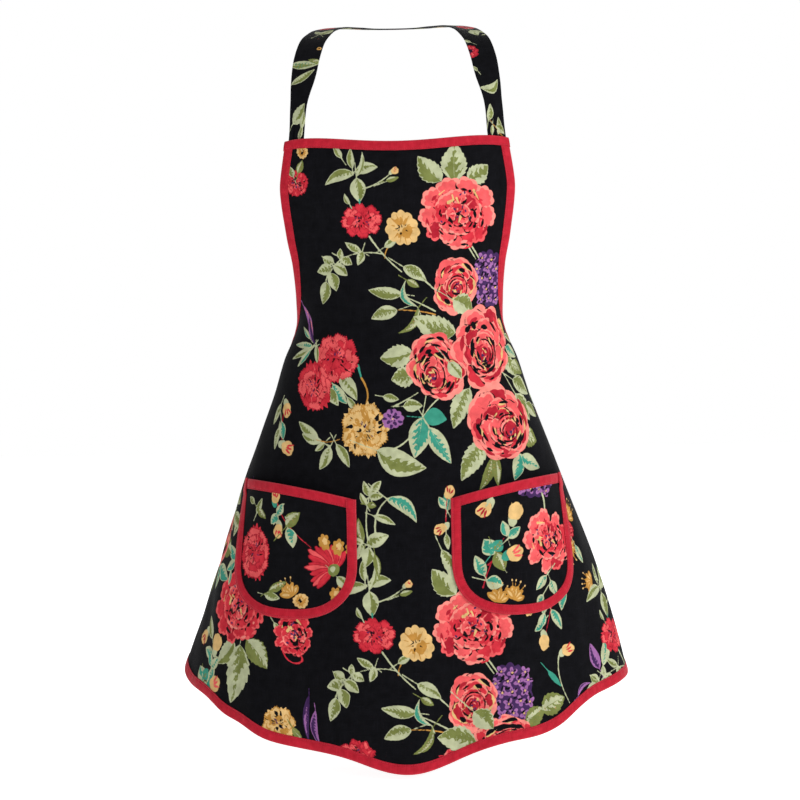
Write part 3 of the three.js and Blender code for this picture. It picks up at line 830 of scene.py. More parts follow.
# ---- The print of each piece ----


def paint_apron(p):
    bouquet(p, 73, 660)
    bouquet(p, 80, 168)
    posy(p, 0, 474)
    garden(p, -208, 188)
    # left edge of the bib
    carnation(p, -124, 700, 14, 15, 31)
    leaf(p, -122, 712, -116, 728, 9, DARK)
    leaf(p, -128, 708, -134, 722, 8)
    yellow_flower(p, -116, 738, 7, 8, 3)
    leaf(p, -67, 728, -77, 744, 8, VEINED)
    # between the pockets
    stem(p, (-32, 225, -36, 250, -42, 268))
    stem(p, (-42, 268, -48, 295, -40, 322))
    leaves(
        p,
        (-40, 322, -47, 340, 9), (-38, 325, -26, 340, 10), (-40, 320, -24, 322, 9),
        (-43, 312, -32, 310, 8, DARK), (-44, 312, -51, 326, 7), (-36, 299, -10, 288, 9),
        (-44, 265, -18, 276, 17), (-48, 268, -54, 297, 9, DARK), (-48, 267, -60, 273, 8),
        (-50, 266, -56, 248, 9, VEINED), (-42, 262, -46, 239, 15), (-35, 254, -31, 226, 8, DARK),
        bend=0.04,
    )
    stem(p, (-34, 280, -36, 306, -18, 319), 1.1)
    leaf(p, -20, 319, 15, 290, 17, COOL, 0.16)
    bud(p, 55, 325, 8, 1.2, DEEP, TEAL)
    leaf(p, 50, 306, 42, 320, 10, COOL)
    leaf(p, 52, 304, 56, 318, 9, COOL)
    stem(p, (52, 318, 49, 296, 50, 270), 0.8, DEEP)
    bud(p, 43, 282, 8, -2.6, DEEP)
    leaf(p, 50, 276, 52, 258, 8)
    leaf(p, 44, 258, 62, 216, 15, PLAIN, 0.05, 6)
    # right of the right pocket and below it
    leaves(
        p,
        (199, 212, 197, 180, 14), (188, 206, 196, 232, 11), (182, 182, 196, 158, 12),
        (172, 178, 160, 160, 11), (176, 196, 168, 178, 11), (168, 168, 156, 158, 8),
        kind=COOL,
        bend=0.04,
    )
    stem(p, (198, 226, 184, 190, 170, 150), 0.9, DEEP)
    bud(p, 169, 145, 9, -1.5, CREAM)
    yellow_flower(p, 150, 187, 9, 10, 6)
    stem(p, (189, 128, 182, 104, 201, 72), 0.9)
    bud(p, 203, 134, 9, 0.4)
    leaf(p, 172, 112, 190, 92, 7, ALL_TEAL)
    leaf(p, 140, 52, 166, 70, 22, DARK, 0.04, 6)
    leaf(p, 162, 66, 194, 80, 26, DARK, 0.04, 6)
    leaf(p, 252, 107, 240, 138, 16, (LILAC, PURPLE, None), 0.04)
    leaf(p, 258, 110, 280, 150, 15, COOL, 0.04)
    blade(p, 214, 78, 222, 90, 236, 92, 4, LILAC, PURPLE)
    rose(p, 112, 38, 38, 24, 41, RED)
    leaf(p, 80, 34, 34, 42, 30, VEINED, -0.05, 8)
    leaf(p, 78, 70, 100, 50, 24, VEINED, 0.03, 6)
    rose(p, 62, 14, 26, 12, 44, RED)
    lily(p, 216, 254, 15, -0.9)
    lily(p, 224, 290, 14, 0.6)
    lily(p, 258, 208, 14, 2.8)
    carnation(p, 222, 272, 10, 12, 33)
    leaf(p, 232, 254, 244, 232, 10, COOL)
    leaf(p, 212, 330, 226, 312, 10)
    # left of the left pocket
    leaves(
        p,
        (-222, 246, -240, 262, 14, COOL), (-224, 244, -244, 232, 12, COOL),
        (-208, 232, -216, 276, 18, VEINED), (-232, 232, -236, 214, 7, COOL),
        (-228, 296, -236, 272, 11), (-262, 150, -276, 176, 15), (-258, 132, -280, 138, 14, COOL),
        (-252, 118, -268, 96, 12, COOL),
        bend=0.04,
    )
    blade(p, -206, 338, -214, 322, -210, 300, 6, PURPLE, LILAC)
    blade(p, -236, 290, -222, 288, -214, 276, 4, LILAC, PURPLE)
    carnation(p, -60, 24, 21, 15, 32)
    # the sides and the back edges
    bouquet(p, 402, 150)
    garden(p, 322, 330)
    berries(p, 300, 190)
    berries(p, 205, 415)
    bouquet(p, -392, 150)
    posy(p, -418, 345)
    berries(p, -290, 60)
    carnation(p, 262, 30, 24, 22, 35)


def paint_left_pocket(p):
    stem(p, (-154, 322, -150, 290, -112, 262), 0.8, RED)
    bud(p, -154, 320, 8, 1.4, RED, TEAL)
    leaf(p, -152, 300, -162, 288, 11, COOL)
    leaf(p, -152, 298, -144, 312, 10, COOL)
    bud(p, -152, 280, 8, -1.7)
    leaf(p, -141, 285, -123, 302, 15, DARK, 0.06)
    leaf(p, -139, 284, -134, 261, 14, COOL, 0.06)
    daisy(p, -84, 236, 36, 2.45, 3)
    leaf(p, -80, 228, -66, 214, 12)
    carnation(p, -188, 254, 22, 33, 51)
    leaves(
        p,
        (-186, 300, -176, 318, 8), (-184, 306, -170, 294, 9, DARK), (-190, 312, -200, 320, 8),
        (-166, 210, -144, 222, 10, DARK), (-172, 206, -152, 202, 10),
    )
    lily(p, -138, 206, 14, 1.9)
    yellow_flower(p, -126, 200, 10, 8, 5)


def paint_right_pocket(p):
    cluster(p, 160, 334, 30, 22, 7)
    stem(p, (172, 318, 178, 308, 176, 292), 1.4)
    peony(p, 182, 262, 32, 40, 17, 1.2)
    berries(p, 92, 212)
    lily(p, 108, 196, 14, 1.2)
    lily(p, 128, 198, 14, 1.0)
    stem(p, (96, 306, 106, 316, 110, 330), 0.9)
    leaves(
        p,
        (176, 222, 160, 206, 11), (182, 216, 190, 198, 11), (170, 200, 160, 188, 10),
        kind=COOL,
    )


def paint_band(p, length, seed):
    """Sprigs along a strap or tie. The seed shifts them, so that no two pieces are alike."""
    r = np.random.default_rng(seed)
    for i, x in enumerate(np.arange(16, length, 29.0)):
        y = r.uniform(-6, 6)
        a = r.uniform(-0.9, 0.9)
        kind = [PLAIN, VEINED, DARK, COOL][r.integers(0, 4)]
        if i % 4 == 3:
            carnation(p, x, y, 12, 11, int(r.integers(1, 90)))
        elif i % 4 == 1:
            bud(p, x, y, 6, a)
            leaf(p, x - 6, y - 2, x - 20, y - 10, 8, kind)
        else:
            leaf(p, x - 9, y - 4 * a, x + 12, y + 9 * a, 13, kind, 0.05)
            leaf(p, x - 8, y - 5 * a, x + 4, y - 14, 8)


STRAP_FRONT = 165  # length of each end of the strap that is seen from the front


def paint_strap(p, length):
    paint_band(p, length, 4)
    p.inks[(p.places[:, 0] < STRAP_FRONT) | (p.places[:, 0] > length - STRAP_FRONT)] = FAR
    leaves(
        p,
        (12, 5, 30, 12, 9, VEINED), (32, -8, 56, 12, 19, VEINED, 0.05, 6),
        (26, 10, 46, 13, 10, VEINED), (84, -15, 106, 13, 10, (SAGE, OLIVE, OLIVE), 0.05),
        (112, -19, 116, 18, 13, (SAGE, OLIVE, TEAL), 0.04), (118, 19, 121, 2, 8, DARK),
    )
    yellow_flower(p, 143, 12, 3, 3, 1)
    p = p.at(length, 0)
    leaves(
        p,
        (-14, -2, -36, -5, 9, VEINED, 0.08), (-24, 1, -14, -14, 10, VEINED, -0.1),
        (-32, 13, -52, 7, 11, VEINED, 0.1), (-26, 6, -13, 9, 7, VEINED),
    )
    stem(p, (-12, -9, -24, 2, -34, 12), 0.8, OCHRE)
    leaf(p, -72, 16, -86, -12, 13, PLAIN, 0.25)
    leaf(p, -98, 12, -107, 17, 5, VEINED)
    carnation(p, -132, 14, 11, 8, 61)
    leaf(p, -150, 10, -158, 18, 5, VEINED)


# ---- Meshes ----

BLUR = 3  # mm from full ink to none


def add_mesh(name, points, faces, uv, inks=None, reverse=None):
    """A mesh from layout points in mm, a list of face arrays, and texture places in mm."""
    co = (points + SHIFT) * MM
    tri = np.concatenate([f[:, [0, i, i + 1]] for f in faces for i in range(1, f.shape[1] - 1)])
    a, b, c = (co[tri[:, i]] for i in range(3))
    if (a * np.cross(b, c)).sum() < 0:
        faces = [f[:, ::-1] for f in faces]
    loops = np.concatenate([f.ravel() for f in faces]).astype(np.int32)
    sizes = np.concatenate([np.full(len(f), f.shape[1]) for f in faces])
    mesh = bpy.data.meshes.new(name)
    mesh.vertices.add(len(co))
    mesh.vertices.foreach_set("co", co.astype(np.float32).ravel())
    mesh.loops.add(len(loops))
    mesh.loops.foreach_set("vertex_index", loops)
    mesh.polygons.add(len(sizes))
    starts = np.concatenate([[0], np.cumsum(sizes)[:-1]]).astype(np.int32)
    mesh.polygons.foreach_set("loop_start", starts)
    mesh.polygons.foreach_set("use_smooth", np.ones(len(sizes), bool))
    mesh.update(calc_edges=True)
    layer = mesh.uv_layers.new(name="cloth")
    layer.data.foreach_set("uv", (uv[loops] * MM).astype(np.float32).ravel())
    if inks is not None:
        cover = np.clip(0.5 - inks / BLUR, 0, 1).astype(np.float32)
        for k, attribute in enumerate(INK_ATTRIBUTES):
            made = mesh.attributes.new(attribute, "FLOAT_COLOR", "POINT")
            four = np.ascontiguousarray(cover[:, 4 * k : 4 * k + 4])
            made.data.foreach_set("color", four.ravel())
        made = mesh.attributes.new("reverse", "FLOAT", "POINT")
        made.data.foreach_set("value", reverse.astype(np.float32))
    mesh.validate()
    return add_object(name, mesh)


def grid_faces(rows, columns, wrap=False):
    across = np.arange(columns if wrap else columns - 1)
    i, j = np.meshgrid(np.arange(rows - 1), across, indexing="ij")
    k = (j + 1) % columns
    low, high = i * columns, (i + 1) * columns
    return np.stack([low + j, low + k, high + k, high + j], -1).reshape(-1, 4)


def rim(rows, columns):
    """Indices round a grid's border, in order."""
    a = np.arange(rows * columns).reshape(rows, columns)
    return np.concatenate([a[0, :-1], a[:-1, -1], a[-1, :0:-1], a[:0:-1, 0]])


def sheet_mesh(name, front, back, places, painter, step=1):
    """Closed cloth from a front grid and a back grid that takes every step-th point of it."""
    rows, columns = front.shape[:2]
    few, thin = back.shape[:2]
    points = np.concatenate([front.reshape(-1, 3), back.reshape(-1, 3)])
    count = rows * columns
    outer, inner = rim(rows, columns), rim(few, thin) + count
    i0, i1 = inner, np.roll(inner, -1)
    tris = []
    half = step // 2
    for j in range(step):
        o0 = outer[j::step]
        o1 = np.roll(outer, -1)[j::step]
        if j == half:
            tris.append(np.stack([o0, i1, i0], 1))
        tris.append(np.stack([o0, o1, i0 if j < half else i1], 1))
    back_faces = grid_faces(few, thin)[:, ::-1] + count
    faces = [grid_faces(rows, columns), back_faces, np.concatenate(tris)]
    paint = Print(places)
    painter(paint)
    inks = paint.inks.reshape(rows, columns, INKS)
    inks = np.concatenate([inks.reshape(-1, INKS), inks[::step, ::step].reshape(-1, INKS)])
    uv = np.concatenate([places.reshape(-1, 2), places[::step, ::step].reshape(-1, 2)])
    reverse = np.concatenate([np.zeros(count), np.ones(few * thin)])
    return add_mesh(name, points, faces, uv, inks, reverse)


def loop_mesh(name, rings, uv, painter=None):
    """Closed solid from rings of points round a path; its ends close across the thin section."""
    count, size = rings.shape[:2]
    pairs = np.arange(size // 2 - 1)
    end = np.stack([size - 1 - pairs, size - 2 - pairs, pairs + 1, pairs], 1)
    faces = [np.concatenate([grid_faces(count, size, True), end, (count - 1) * size + end])]
    uv = uv.reshape(-1, 2)
    inks = reverse = None
    if painter:
        paint = Print(uv)
        painter(paint)
        inks, reverse = paint.inks, np.zeros(len(uv))
    return add_mesh(name, rings.reshape(-1, 3), faces, uv, inks, reverse)


def spaced(count, edge=0.0):
    """Even steps from -1 to 1, or closer together in the middle."""
    u = np.linspace(-1, 1, count)
    return u * (1 - edge) + edge * u**3


def crowded(count, share):
    """Steps from -1 to 1 that are closer together at both ends."""
    u = np.linspace(-1, 1, count)
    return np.sin(u * np.pi / 2) * share + u * (1 - share)


# ---- Panel and bindings ----

PANEL_ROWS, PANEL_COLUMNS, PANEL_STEP = ((613, 673, 3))
CLOTH_HALF = 0.35


def make_panel():
    share = spaced(PANEL_COLUMNS, 0.22)
    low, high = hem_line(share), top_line(share)
    v = np.linspace(0, 1, PANEL_ROWS)[:, None]
    z = low + v * (high - low)
    arc = share * half_arc(z)
    front = cloth(arc, z, CLOTH_HALF)
    few = (slice(None, None, PANEL_STEP),) * 2
    back = cloth(arc[few], z[few], -CLOTH_HALF)
    return sheet_mesh("apron_cloth", front, back, np.stack([arc, z], -1), paint_apron, PANEL_STEP)


# Section of a folded binding: how deep in from the edge and how far out, front then back.
FOLD_FRONT = [
    (10.3, 0.45), (10.65, 0.7), (10.6, 1.05), (10.25, 1.25), (9.75, 1.3), (9.4, 1.12),
    (9.05, 1.08), (8.7, 1.25), (8.0, 1.42), (6.5, 1.55), (4.8, 1.62), (3.0, 1.65), (1.5, 1.6),
    (0.4, 1.5), (-0.5, 1.25), (-1.0, 0.8), (-1.2, 0.3),
]
FOLD_BACK = [(a, -b) for a, b in reversed(FOLD_FRONT)]
FOLD_INSIDE = [(8.5, -0.4), (4.0, -0.4), (0.4, -0.4), (0.4, 0.4), (4.0, 0.4), (8.5, 0.4)]
FOLDED = FOLD_FRONT + FOLD_BACK + FOLD_INSIDE


def crinkle(along, inset):
    """Small puckers that a stitched bias strip takes along its seam."""
    seam = 0.16 * swell(inset, 7, 4) * np.sin(along / 2.1 + 2 * np.sin(along / 17))
    return seam + 0.22 * np.sin(along / 23 + inset / 4)


def binding(name, place, along, section=FOLDED):
    """place(t, inset, offset) gives points; t counts along the path, along is its length there."""
    inset, offset = np.array(section).T[:, None]
    along = along[:, None]
    puff = np.sign(offset) * np.clip(np.abs(offset) - 0.5, 0, 1)
    t = np.arange(len(along))[:, None]
    rings = place(t, inset + 0.15 * np.sin(along / 31), offset + puff * crinkle(along, inset))
    return loop_mesh(name, rings, np.stack(np.broadcast_arrays(along, inset), -1))


def row_along(z_of, share):
    return length_along(cloth(share * half_arc(z_of(share)), z_of(share), 0))


def edge_arc(share, z, proud):
    """Place along the cloth: the band on its edge reaches a little past the side edges."""
    return share * (half_arc(z) + proud)


def make_hem():
    share = spaced(521)

    def place(t, inset, offset):
        z = hem_line(share[t]) + inset
        return cloth(edge_arc(share[t], z, 1.6), z, offset)

    return binding("hem_band", place, row_along(hem_line, share))


def make_top():
    share = spaced(181)
    lift = 0.75  # the top band lies over the side bindings
    section = [(a, b + math.copysign(lift, b) if abs(b) > 0.42 else b) for a, b in FOLDED]

    def place(t, inset, offset):
        z = top_line(share[t]) - inset
        return cloth(edge_arc(share[t], z, 1.0), z, offset)

    return binding("bib_top_band", place, row_along(top_line, share), section)


def make_side(name, sign, low, high):
    """Binding of a side edge between two shares of the cloth's height."""
    v = np.linspace(low, high, int((high - low) * 260) + 2)
    bottom_z, top_z = hem_line(np.array(1.0)), top_line(np.array(1.0))
    z = bottom_z + v * (top_z - bottom_z)

    def place(t, inset, offset):
        h = z[t] + 0 * inset
        return cloth(sign * (half_arc(h) - inset), h, offset)

    return binding(name, place, length_along(cloth(sign * half_arc(z), z, 0)))


# ---- Pockets ----

POCKET_MIDDLE, POCKET_HALF = 139, 82
TURN_Z, BOTTOM_Z, ROUND = 246, 180, 2.4


def mouth(share):
    return 328.5 + 12 * share + 4 * (1 - share**2)


def bottom(share):
    drop = (1 - np.minimum(np.abs(share), 1) ** ROUND) ** (1 / ROUND)
    return TURN_Z - (TURN_Z - BOTTOM_Z) * drop


def on_pocket(sign, share, z, offset):
    """A point of a pocket, which stands off the skirt and gapes at its mouth."""
    inside = np.clip(1 - share**2, 0, 1)
    up = np.clip((z - BOTTOM_Z) / (mouth(share) - BOTTOM_Z), 0, 1.1)
    sag = 1.1 * inside * np.sin(np.pi * np.clip(up, 0, 1)) * np.sin(share * 5 + z / 21)
    gape = 12 * inside * up**2 * (1 - 0.35 * share)
    return cloth(sign * (POCKET_MIDDLE + POCKET_HALF * share), z, 1.3 + gape + sag + offset)


def make_pocket(name, sign, painter):
    rows, columns = ((139, 157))
    share = crowded(columns, 0.3)
    low, high = bottom(share), mouth(share)
    z = low + np.linspace(0, 1, rows)[:, None] * (high - low)
    share = share + 0 * z
    front = on_pocket(sign, share, z, 2 * CLOTH_HALF)
    back = on_pocket(sign, share, z, 0.0)
    places = np.stack([sign * (POCKET_MIDDLE + POCKET_HALF * share), z], -1)
    return sheet_mesh(name, front, back, places, painter)


def make_pocket_mouth(name, sign):
    share = np.linspace(-0.985, 0.985, 81)

    def place(t, inset, offset):
        s = share[t] + 0 * inset
        return on_pocket(sign, s, mouth(s) - inset, CLOTH_HALF + offset)

    return binding(name, place, (share + 1) * POCKET_HALF)


# Section of the flat band round a pocket's edge, with a row of stitches along each side.
STRIP_TOP = [
    (10.0, 0.15), (10.15, 0.5), (9.95, 0.85), (9.5, 1.0), (9.15, 0.88), (8.85, 0.84),
    (8.5, 0.98), (7.5, 1.15), (6.0, 1.25), (4.3, 1.28), (2.8, 1.2), (1.8, 1.02), (1.4, 0.9),
    (1.0, 0.92), (0.3, 1.05), (-0.4, 0.95), (-1.0, 0.6), (-1.2, 0.1),
]
STRIP = STRIP_TOP + [(a, -0.1) if a > 0 else (a, -0.9) for a, b in reversed(STRIP_TOP)]


def pocket_outline():
    """Places and inward directions round a pocket's edge, evenly spaced, and their lengths."""
    turn = np.linspace(0, np.pi, 400)
    share = -np.sign(np.cos(turn)) * np.abs(np.cos(turn)) ** (2 / ROUND)
    left = np.linspace(mouth(-1) + 1.2, TURN_Z, 60, endpoint=False)
    right = np.linspace(TURN_Z, mouth(1) + 1.2, 61)[1:]
    shares = np.concatenate([-np.ones(60), share, np.ones(60)])
    heights = np.concatenate([left, bottom(share), right])
    flat = np.stack([shares * POCKET_HALF, heights], 1)
    along = length_along(flat)
    even = np.linspace(0, along[-1], 260)
    flat = np.stack([np.interp(even, along, flat[:, k]) for k in (0, 1)], 1)
    for _ in range(3):
        flat[1:-1] = (flat[:-2] + 2 * flat[1:-1] + flat[2:]) / 4
    direction = unit(np.gradient(flat, axis=0))
    return flat, np.stack([-direction[:, 1], direction[:, 0]], 1), even


def make_pocket_edge(name, sign):
    flat, inward, along = pocket_outline()

    def place(t, inset, offset):
        x = flat[t, 0] + inward[t, 0] * inset
        z = flat[t, 1] + inward[t, 1] * inset
        s = x / POCKET_HALF
        over = 1.5 * smooth(18, 12, mouth(s) - z)  # it lies over the mouth band's ends
        return on_pocket(sign, s, z, 0.8 + over + offset)

    return binding(name, place, along, STRIP)


# ---- Strap, ties and bow: bands along a path ----


def curve_through(stops, count):
    """Smooth path through stops, evenly spaced: each stop is a row of numbers."""
    stops = np.array(stops, float)
    gaps = np.sqrt(np.linalg.norm(np.diff(stops[:, :3], axis=0), axis=1))
    knots = np.concatenate([[0], np.cumsum(gaps)])
    tangent = np.gradient(stops, knots, axis=0)
    fine = np.linspace(0, knots[-1], 1500)
    i = np.clip(np.searchsorted(knots, fine, side="right") - 1, 0, len(knots) - 2)
    step = (knots[i + 1] - knots[i])[:, None]
    t = (fine - knots[i])[:, None] / step
    path = hermite(t, step, stops[i], tangent[i], stops[i + 1], tangent[i + 1])
    along = length_along(path[:, :3])
    even = np.linspace(0, along[-1], count)
    return np.stack([np.interp(even, along, column) for column in path.T], 1), even


def band_mesh(name, path, facing, width, thick, ripple, painter, columns=29):
    """Flattened tube along a path. ripple(along, across) lifts both faces of it together."""
    along = length_along(path)
    ahead = unit(np.gradient(path, axis=0))
    across = unit(np.cross(ahead, facing))
    out = np.cross(across, ahead)
    u = crowded(columns, 0.35)
    edge = np.sqrt(np.clip(1 - np.abs(u) ** 10, 0, 1))
    groove = 1 - 0.3 * swell(np.abs(u), 0.86, 0.04)
    lift = ripple(along[:, None], u[None, :])
    side = width[:, None] / 2 * u[None, :]
    face = []
    for sign in (1, -1):
        rise = lift + sign * thick / 2 * (0.15 + 0.85 * edge * groove)[None, :]
        flat = path[:, None] + across[:, None] * side[..., None]
        face.append(flat + out[:, None] * rise[..., None])
    rings = np.concatenate([face[0], face[1][:, ::-1]], axis=1)
    flat = np.stack(np.broadcast_arrays(along[:, None], u[None, :] * np.max(width) / 2), -1)
    uv = np.concatenate([flat, flat[:, ::-1]], axis=1)
    return loop_mesh(name, rings, uv, painter)


STRAP_STOPS = [  # place, then the direction that the strap faces
    (118, -66, 797, 0.52, -0.84, 0.12),
    (113, -54, 828, 0.25, -0.87, 0.38),
    (108.5, -38, 857, 0.08, -0.82, 0.55),
    (102, -15, 882, 0.05, -0.62, 0.78),
    (91, 15, 900, 0.08, -0.38, 0.92),
    (76, 48, 911, 0.08, -0.25, 0.96),
    (52, 79, 916.5, 0.03, -0.2, 0.98),
    (26, 94.5, 918, 0, -0.19, 0.98),
]
NAPE_STOP = (0, 96, 918, 0, -0.19, 0.98)
STRAP_SEAM = 12.5  # from the bib's side edge to the middle of the strap's sewn end
STRAP_WIDTH = 32


def make_strap():
    ends = []
    for drop, offset in ((11, -3.0), (5, -3.0), (-3, -2.4)):
        z = np.array(top_line(0.9) - drop)
        arc = half_arc(z) - STRAP_SEAM
        angle = angle_at(arc, z)
        ends.append((*cloth(arc, z, np.array(offset)), *normal(angle, z)))
    half = ends + STRAP_STOPS
    left = [(-x, y, z, -a, b, c) for x, y, z, a, b, c in half]
    path, along = curve_through(left + [NAPE_STOP] + half[::-1], 560)
    length = along[-1]
    from_end = np.minimum(along, length - along)
    sewn = 20 + 4 * along / length  # the left end is sewn on more turned than the right one
    width = sewn + (STRAP_WIDTH - sewn) * smooth(12, 112, from_end)

    def ripple(s, u):
        end = np.minimum(s, length - s)
        gathers = 1.2 * swell(end, 14, 16) * np.cos(3.2 * np.pi * u) * (1 - u**8)
        return gathers + 0.5 * swell(end, 70, 50) * (1 - u**2) + 0.15 * np.sin(s / 6) * u**4

    name, facing = "neck_strap_cloth", unit(path[:, 3:])
    painter = lambda p: paint_strap(p, length)
    return band_mesh(name, path[:, :3], facing, width, 1.7, ripple, painter), length


TIE_Z, TIE_WIDTH = 490, 26
KNOT = np.array([0, 87, TIE_Z])


def make_tie(name, sign):
    start = float(angle_at(half_arc(np.array(TIE_Z)) - 9, np.array(TIE_Z)))
    end = math.pi - math.asin(10 / float(form(WIDTH, TIE_Z)))
    count = 130
    angle = sign * np.linspace(start, end, count)
    z = np.full(count, float(TIE_Z))
    offset = 1.9 + 2.0 * smooth(0.82, 1, np.linspace(0, 1, count))
    facing = normal(angle, z)
    path = bare(angle, z) + facing * offset[:, None]
    along = length_along(path)
    length = along[-1]
    width = TIE_WIDTH - 9 * smooth(0.55, 1, along / length)

    def ripple(s, u):
        pull = smooth(0.15, 1, s / length) * (1 - 0.3 * u**2)
        waves = 1.5 * np.cos(2.3 * np.pi * u + 0.6 * sign) + 0.5 * np.sin(4.1 * np.pi * u)
        return pull * waves + 0.2 * np.sin(s / 9 + 2 * u)

    painter = lambda p: paint_band(p, length, 11 + sign)
    return band_mesh(name, path, facing, width, 1.5, ripple, painter), length


def paint_knot(p):
    leaf(p, -10, 20, 8, 34, 12)
    carnation(p, 2, 58, 12, 12, 71)


def make_knot():
    t = np.linspace(-1, 1, 41)[:, None]
    a = np.linspace(0, 2 * np.pi, 48, endpoint=False)[None, :]
    girth = 0.66 + 0.34 * np.sqrt(np.clip(1 - t**2 * 0.98, 0, 1))
    crease = 0.07 * np.sin(3 * a + 2.2 * t) + 0.05 * np.sin(7 * a - 3 * t)
    crease += 0.05 * np.cos(9 * t + 2 * np.sin(a))
    r = girth * (1 + crease - 0.13 * swell(np.abs(t), 0.62, 0.1))
    r *= np.where(np.abs(t) > 0.97, 0.55, 1.0)
    rings = np.stack([14 * t + 1.2 * np.sin(a), 8.2 * r * np.cos(a), 15 * r * np.sin(a)], -1)
    uv = np.stack(np.broadcast_arrays(14 * t, a * 12), -1)
    return loop_mesh("bow_knot_cloth", rings + KNOT, uv, paint_knot)


LOOP_STOPS = [  # from the knot, out along the back and home along the front
    (13.5, 2.5, 0), (28, 10, -1), (48, 15.5, -4), (68, 17, -9), (84, 14.5, -14), (93, 8.5, -17),
    (88, 1.5, -17), (72, -1.5, -13), (50, -1, -8), (30, -0.5, -4), (13.5, -2.5, -2),
]


def make_loop(name, sign):
    path, along = curve_through(LOOP_STOPS + KNOT, 200)
    path[:, 0] *= sign
    facing = unit(np.cross(np.gradient(path, axis=0), [0.0, 0, 1.0]))
    length = along[-1]

    def away(s):
        """Distance from the knot, as a share of the whole."""
        return np.minimum(s, length - s) / (length / 2)

    def ripple(s, u):
        near = 1 - smooth(0, 0.7, away(s))
        waves = 1.9 * np.cos(2.6 * np.pi * u) + 0.7 * np.sin(5 * np.pi * u)
        cupped = near * waves * (1 - 0.4 * u**2) - 1.0 * (1 - near) * u**2
        return cupped + 0.25 * np.sin(s / 11 + 3 * u)

    width = 13 + 14 * smooth(0, 0.6, away(along))
    painter = lambda p: paint_band(p, length, 21 + sign)
    return band_mesh(name, path, facing, width, 1.5, ripple, painter), length


TAIL_TOP, TAIL_LENGTH = 470.5, 285
TAIL_STOPS = [  # across, out from the knot, down from the tail's top, and how far it faces aside
    (9, 0, -7.5, 0.1), (14, 0.5, 8, 0.1), (17, 2, 43, -0.15), (20, 3.5, 80, -0.25),
    (24, 3, 120, 0.05), (28, 1, 160, 0.25), (31, -1, 205, 0.1), (34, -2.5, 250, -0.2),
    (36, -3, TAIL_LENGTH, -0.3),
]


def make_tail(name, sign):
    stops = [(x, KNOT[1] + y, TAIL_TOP - down, turn, 1, 0) for x, y, down, turn in TAIL_STOPS]
    path, along = curve_through(stops, 240)
    path[:, [0, 3]] *= sign
    length = along[-1]
    width = 12 + 14 * smooth(0, 70, along)

    def ripple(s, u):
        near = 1 - smooth(10, 110, s)
        waves = 1.8 * np.cos(2.6 * np.pi * u + sign) + 0.6 * np.sin(5 * np.pi * u)
        return near * waves + 1.4 * (1 - near) * np.sin(s / 34 + 1.2 * u + sign)

    painter = lambda p: paint_band(p, length, 31 + sign)
    made = band_mesh(name, path[:, :3], unit(path[:, 3:]), width, 1.3, ripple, painter)
    # the free end is cut on a slant
    co = np.zeros(len(made.data.vertices) * 3, np.float32)
    made.data.vertices.foreach_get("co", co)
    co = co.reshape(-1, 3)
    end = (TAIL_TOP - TAIL_LENGTH + SHIFT[2]) * MM
    low = np.clip((end + 0.05 - co[:, 2]) / 0.05, 0, 1)
    co[:, 2] += low * (0.007 + sign * 0.45 * (co[:, 0] - sign * 0.035))
    made.data.vertices.foreach_set("co", co.ravel())
    made.data.update()
    return made, length


# ---- Materials ----


class Nodes:
    """A few short hands for building a node tree."""

    def __init__(self, name):
        self.material = bpy.data.materials.new(name)
        self.material.use_nodes = True
        self.tree = self.material.node_tree
        self.shader = self.tree.nodes["Principled BSDF"]
        self.uv = self.node("ShaderNodeUVMap")
        self.uv.uv_map = "cloth"

    def node(self, kind, **values):
        made = self.tree.nodes.new(kind)
        for key, value in values.items():
            setattr(made, key, value)
        return made

    def link(self, out, into):
        self.tree.links.new(out, into)

    def value(self, socket, x):
        if hasattr(x, "is_linked"):
            self.link(x, socket)
        else:
            socket.default_value = x

    def math(self, operation, a, b=0.0, c=0.0):
        made = self.node("ShaderNodeMath", operation=operation)
        for socket, x in zip(made.inputs, (a, b, c)):
            self.value(socket, x)
        return made.outputs[0]

    def mix(self, share, a, b):
        made = self.node("ShaderNodeMix", data_type="RGBA")
        self.value(made.inputs[0], share)
        self.value(made.inputs[6], a)
        self.value(made.inputs[7], b)
        return made.outputs[2]

    def noise(self, scale, detail=2.0, rough=0.5, stretch=None):
        made = self.node("ShaderNodeTexNoise")
        made.inputs["Scale"].default_value = scale
        made.inputs["Detail"].default_value = detail
        made.inputs["Roughness"].default_value = rough
        vector = self.uv.outputs[0]
        if stretch:
            scaled = self.node("ShaderNodeMapping")
            scaled.inputs["Scale"].default_value = stretch
            self.link(vector, scaled.inputs["Vector"])
            vector = scaled.outputs[0]
        self.link(vector, made.inputs["Vector"])
        return made.outputs["Fac"]

    def span(self, x, low, high, to_low=0.0, to_high=1.0, kind="LINEAR"):
        made = self.node("ShaderNodeMapRange", interpolation_type=kind)
        for socket, v in zip(made.inputs, (x, low, high, to_low, to_high)):
            self.value(socket, v)
        return made.outputs[0]

    def weave(self, pitch):
        """Height of a plain weave: warp and weft over each other in turn."""
        place = self.node("ShaderNodeSeparateXYZ")
        self.link(self.uv.outputs[0], place.inputs[0])
        k = 2 * math.pi / pitch
        u = self.math("SINE", self.math("MULTIPLY", place.outputs[0], k))
        v = self.math("SINE", self.math("MULTIPLY", place.outputs[1], k))
        over = self.math("MULTIPLY", u, v)
        return self.math("MULTIPLY_ADD", over, 0.5, 0.5), place

    def bump(self, height, strength, distance, before=None):
        made = self.node("ShaderNodeBump")
        made.inputs["Strength"].default_value = strength
        made.inputs["Distance"].default_value = distance
        self.link(height, made.inputs["Height"])
        if before is not None:
            self.link(before, made.inputs["Normal"])
        return made.outputs[0]

    def finish(self, sheen, specular):
        self.shader.inputs["Sheen Weight"].default_value = sheen
        self.shader.inputs["Sheen Roughness"].default_value = 0.4
        self.shader.inputs["Specular IOR Level"].default_value = specular
        return self.material


